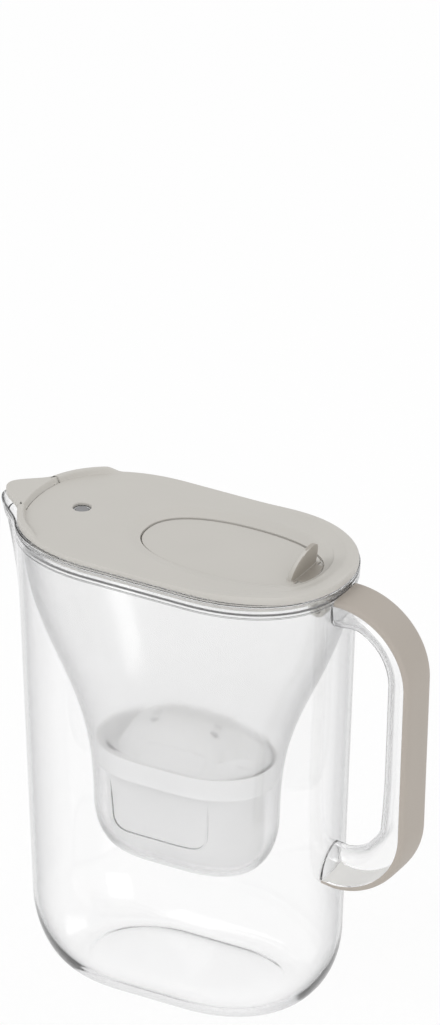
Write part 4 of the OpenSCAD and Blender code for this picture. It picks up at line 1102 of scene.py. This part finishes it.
# %% Housing and button
HOUSE_PP = moulded("polypropylene_milky", "#F1F1F2", 0.26, 0.9, 0.005, 0.01, IOR=1.49, **MILKY)
BUTTON_TPE = moulded("tpe_button_grey", "#8B8B8D", 0.5, 0.5, 0.01, IOR=1.5)
IND_TOP, IND_H, IND_R, IND_WALL = COVER_Z - NEAR, 22.0, 16.8, 1.4
IND_Z = IND_TOP - IND_H
house_path = rounded([
    (15.3, 0), (IND_R, 0), (IND_R - 1.2, IND_H), (14.1, IND_H), (13.6, IND_H - 0.6),
    (4.9, IND_H - 0.6), (4.7, IND_H - 0.1), (4.1, IND_H - 0.1), (3.9, IND_H - IND_WALL),
    (14.3, IND_H - IND_WALL), (14.3, 1.8), (15.3, 1.8)],
    [0.2, 0.5, 1.6, 0.3, 0.3, 0.2, 0.2, 0.2, 0.2, 0.8, 0.2, 0.2], closed=True, steps=9)
house = shape("indicator_housing_milky", [turned(house_path, (-IND_X, 0, IND_Z), tube=True)])
board_top = 1.8 + 0.9 + 0.4 + 3.2 + 0.2 + 1  # base, seal, clip, cell, air and board
post_h, post_at = IND_H - 1.0 - board_top, IND_Z + (board_top + IND_H - 1.0) / 2
posts = [rod((11.7 * math.cos(a) - IND_X, 11.7 * math.sin(a), post_at), 1.3, post_h, along="z",
             edge=0.1, count=24) for a in np.radians([60, 180, 300]).tolist()]
pips = [rod((x - IND_X, y, IND_Z + IND_H - 0.75), 0.7, 0.9, along="z", edge=0.1, count=24)
        for x, y in ((-5.3, -3.2), (6.4, 3.6))]
combine(house, posts + pips, "UNION")
place(house, "indicator", "white_housing", HOUSE_PP, "indicator_housing")

stem_low = board_top + 3.4 + 0.8 + 0.55  # the switch, its plunger and its play
button_path = rounded([
    (0, stem_low), (1.8, stem_low), (1.8, IND_H - 2.55), (5.0, IND_H - 2.55), (5.0, IND_H - 1.55),
    (3.6, IND_H - 1.55), (3.6, IND_H + 0.5), (2.4, IND_H + 0.42), (0, IND_H + 0.3)],
    [0, 0.2, 0.2, 0.2, 0.2, 0.2, 0.5, 0.4, 0])
button = shape("indicator_button_grey", [turned(button_path, (-IND_X, 0, IND_Z), count=72)])
place(button, "button", "button", BUTTON_TPE, "indicator_button")

# %% [markdown]
# ## Finishes of the inner parts
# The parts that stay as the frame has them get a finish of their own: the green board, the steel
# cell and its clip, the black switch, the lamps, the seal, the mesh and the carbon granules.

# %% Metal, granules and mesh
def metal(name, hex_code, roughness, streak):
    """Sheet metal: noise stretched along X, streak mm wide, varies the roughness as brushing
    does, from 0.06 smoother to 0.08 rougher."""
    material, tree, output = blank(name)
    where = node(tree, "ShaderNodeTexCoord").outputs["Object"]
    pull = node(tree, "ShaderNodeMapping", None, {"Vector": where, "Scale": (0.05, 1, 1)})
    fine = node(tree, "ShaderNodeTexNoise", None, {
        "Vector": pull.outputs[0], "Scale": 1 / (streak * MM), "Detail": 3.0})
    rough = node(tree, "ShaderNodeMapRange", None, {
        "Value": fine.outputs["Fac"], "To Min": roughness - 0.06, "To Max": roughness + 0.08})
    surface = node(tree, "ShaderNodeBsdfPrincipled", None, {
        "Base Color": colour(hex_code), "Metallic": 1.0, "Roughness": rough.outputs[0]})
    tree.links.new(surface.outputs[0], output.inputs["Surface"])
    return material


def speckled(name, dark, light, grain, depth, roughness):
    """Cells of the given size in mm, each of its own shade between two colours, standing up."""
    material, tree, output = blank(name)
    where = node(tree, "ShaderNodeTexCoord").outputs["Object"]
    cells = node(tree, "ShaderNodeTexVoronoi", None, {"Vector": where, "Scale": 1 / (grain * MM)})
    tone = node(tree, "ShaderNodeMix", {"data_type": "RGBA"}, {
        0: cells.outputs["Distance"], 6: colour(light), 7: colour(dark)})
    lift = node(tree, "ShaderNodeBump", {"invert": True}, {
        "Height": cells.outputs["Distance"], "Distance": depth * MM, "Strength": 0.8})
    surface = node(tree, "ShaderNodeBsdfPrincipled", None, {
        "Base Color": tone.outputs[2], "Roughness": roughness, "Normal": lift.outputs["Normal"]})
    tree.links.new(surface.outputs[0], output.inputs["Surface"])
    return material


CELL_STEEL = metal("stainless_steel_cell", "#C9CACB", 0.28, 0.2)
CLIP_STEEL = metal("nickel_plated_spring_steel", "#D2CFC8", 0.3, 0.1)
CARBON = speckled("activated_carbon_and_resin", "#1D1C1B", "#6E6A62", 0.9, 0.4, 0.8)
MESH_PE = speckled("polyester_mesh", "#D9D9D6", "#F2F2F0", 0.5, 0.15, 0.7)
BOARD = moulded("glass_epoxy_solder_mask", "#1F5A36", 0.4, 0.4, 0.01, IOR=1.55)
BLACK_ABS = moulded("abs_black_switch", "#232325", 0.45, 0.5, 0.01)
LAMP_EPOXY = moulded("epoxy_lamp", "#F3F0D8", 0.3, 0.5, 0.005)
SEAL_RUBBER = moulded("nitrile_rubber_seal", "#2A2A2B", 0.7, 0.5, 0.01)
GUIDE = clear_plastic("polycarbonate_diffuser", "#F4F4F4", "#D8D8DA", 0.35, "#B0B0B0", 60,
                      ior=1.58)

finishes = {
    "cartridge_granules": CARBON, "cartridge_top_mesh": MESH_PE, "cartridge_bottom_mesh": MESH_PE,
    "indicator_base": WHITE_PP, "indicator_seal": SEAL_RUBBER, "indicator_board": BOARD,
    "indicator_switch": BLACK_ABS, "indicator_leds": LAMP_EPOXY, "indicator_light_guide": GUIDE,
    "indicator_coin_cell": CELL_STEEL, "indicator_cell_clip": CLIP_STEEL}
for name, finish in finishes.items():
    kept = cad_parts[name]
    kept.data.materials.clear()
    kept.data.materials.append(finish)
print("frame nodes with a finish:", len(finishes))

# %% [markdown]
# ## Floor, light and camera
# Clear plastic looks like what is behind it, so the room is white where the camera, a reflection
# or the clear plastic looks, and softer where it lights the pitcher. For those same looks the
# floor glows white by a large share, and the rest of it is matt, so it stays pale and still holds
# the shadow. Three soft lamps give the highlights.

# %% The floor and the room
FLOOR_GLOW, ROOM_LIGHT = 0.88, 0.78  # share of the floor that glows, strength of the room's light
WHITE = (1, 1, 1, 1)


def seen_white(tree):
    """One where the ray comes from the camera, a reflection or through clear plastic."""
    ray = node(tree, "ShaderNodeLightPath")
    first = node(tree, "ShaderNodeMath", {"operation": "MAXIMUM"}, {
        0: ray.outputs["Is Camera Ray"], 1: ray.outputs["Is Glossy Ray"]})
    return node(tree, "ShaderNodeMath", {"operation": "MAXIMUM"}, {
        0: first.outputs[0], 1: ray.outputs["Is Transmission Ray"]}).outputs[0]


def mixed(tree, share, one, other, output):
    """Mixes two shaders by a share and links the result to an output's surface."""
    both = node(tree, "ShaderNodeMixShader", None, {
        0: share, 1: one.outputs[0], 2: other.outputs[0]})
    tree.links.new(both.outputs[0], output.inputs["Surface"])


floor_paint, tree, output = blank("matt_white_board")
matt = node(tree, "ShaderNodeBsdfDiffuse", None, {"Color": WHITE})
glow = node(tree, "ShaderNodeEmission", None, {"Color": WHITE, "Strength": 1.0})
share = node(tree, "ShaderNodeMath", {"operation": "MULTIPLY"}, {
    0: seen_white(tree), 1: FLOOR_GLOW})
mixed(tree, share.outputs[0], matt, glow, output)
across = np.linspace(-3, 3, 13)
floor_grid = np.stack(np.broadcast_arrays(across[None, :], across[:, None], -0.0002), axis=-1) / MM
table = shape("floor_board", [skin(floor_grid, ring=False)])
table.data.materials.append(floor_paint)

room = bpy.data.worlds.new("soft_room")
room.use_nodes = True
tree = room.node_tree
tree.nodes.clear()
lit = node(tree, "ShaderNodeBackground", None, {"Color": WHITE, "Strength": ROOM_LIGHT})
white = node(tree, "ShaderNodeBackground", None, {"Color": WHITE, "Strength": 1.0})
mixed(tree, seen_white(tree), lit, white, node(tree, "ShaderNodeOutputWorld"))
bpy.context.scene.world = room
print("floor and room:", floor_paint.name, room.name)

# %% Lamps and the camera
AIM = (0, 0, 0.15)


def seat(name, data, at, way):
    """An object of the scene at a point in metres that looks along a way."""
    made = bpy.data.objects.new(name, data)
    bpy.context.scene.collection.objects.link(made)
    made.location = at
    made.rotation_euler = way.to_track_quat("-Z", "Y").to_euler()
    return made


def softbox(name, at, size, watts):
    """A square lamp that looks at the middle of the pitcher."""
    lamp = bpy.data.lights.new(name, "AREA")
    lamp.energy, lamp.size = watts, size
    return seat(name, lamp, at, Vector(AIM) - Vector(at))


softbox("key_softbox", (-1.4, -1.6, 2.4), 1.6, 14)
softbox("fill_softbox", (2.4, -3.0, 1.1), 1.8, 22)
softbox("rear_softbox", (0.9, 2.0, 1.6), 1.4, 6)

AZIMUTH, ELEVATION = math.radians(29.66), math.radians(28.42)
EYE = (2.72266, -4.74619, 3.23569)
level = math.cos(ELEVATION)
back = Vector((math.sin(AZIMUTH) * level, -math.cos(AZIMUTH) * level, math.sin(ELEVATION)))
eye = bpy.data.cameras.new("long_lens")
eye.lens, eye.sensor_width, eye.clip_end = 421.5, 36.0, 60.0
bpy.context.scene.camera = seat("camera", eye, EYE, -back)
bpy.context.scene.view_settings.view_transform = "Standard"
print("lens in mm:", eye.lens)

# %% [markdown]
# Light is led round inside clear plastic, turn after turn, before it leaves. A renderer that gives
# up too soon draws that plastic black, so the paths may be longer than Blender's own limits.

# %% Long light paths
paths = bpy.context.scene.cycles
paths.max_bounces, paths.transmission_bounces, paths.glossy_bounces = 24, 24, 16
paths.transparent_max_bounces = 32
print("turns that light may take inside plastic:", paths.glossy_bounces)
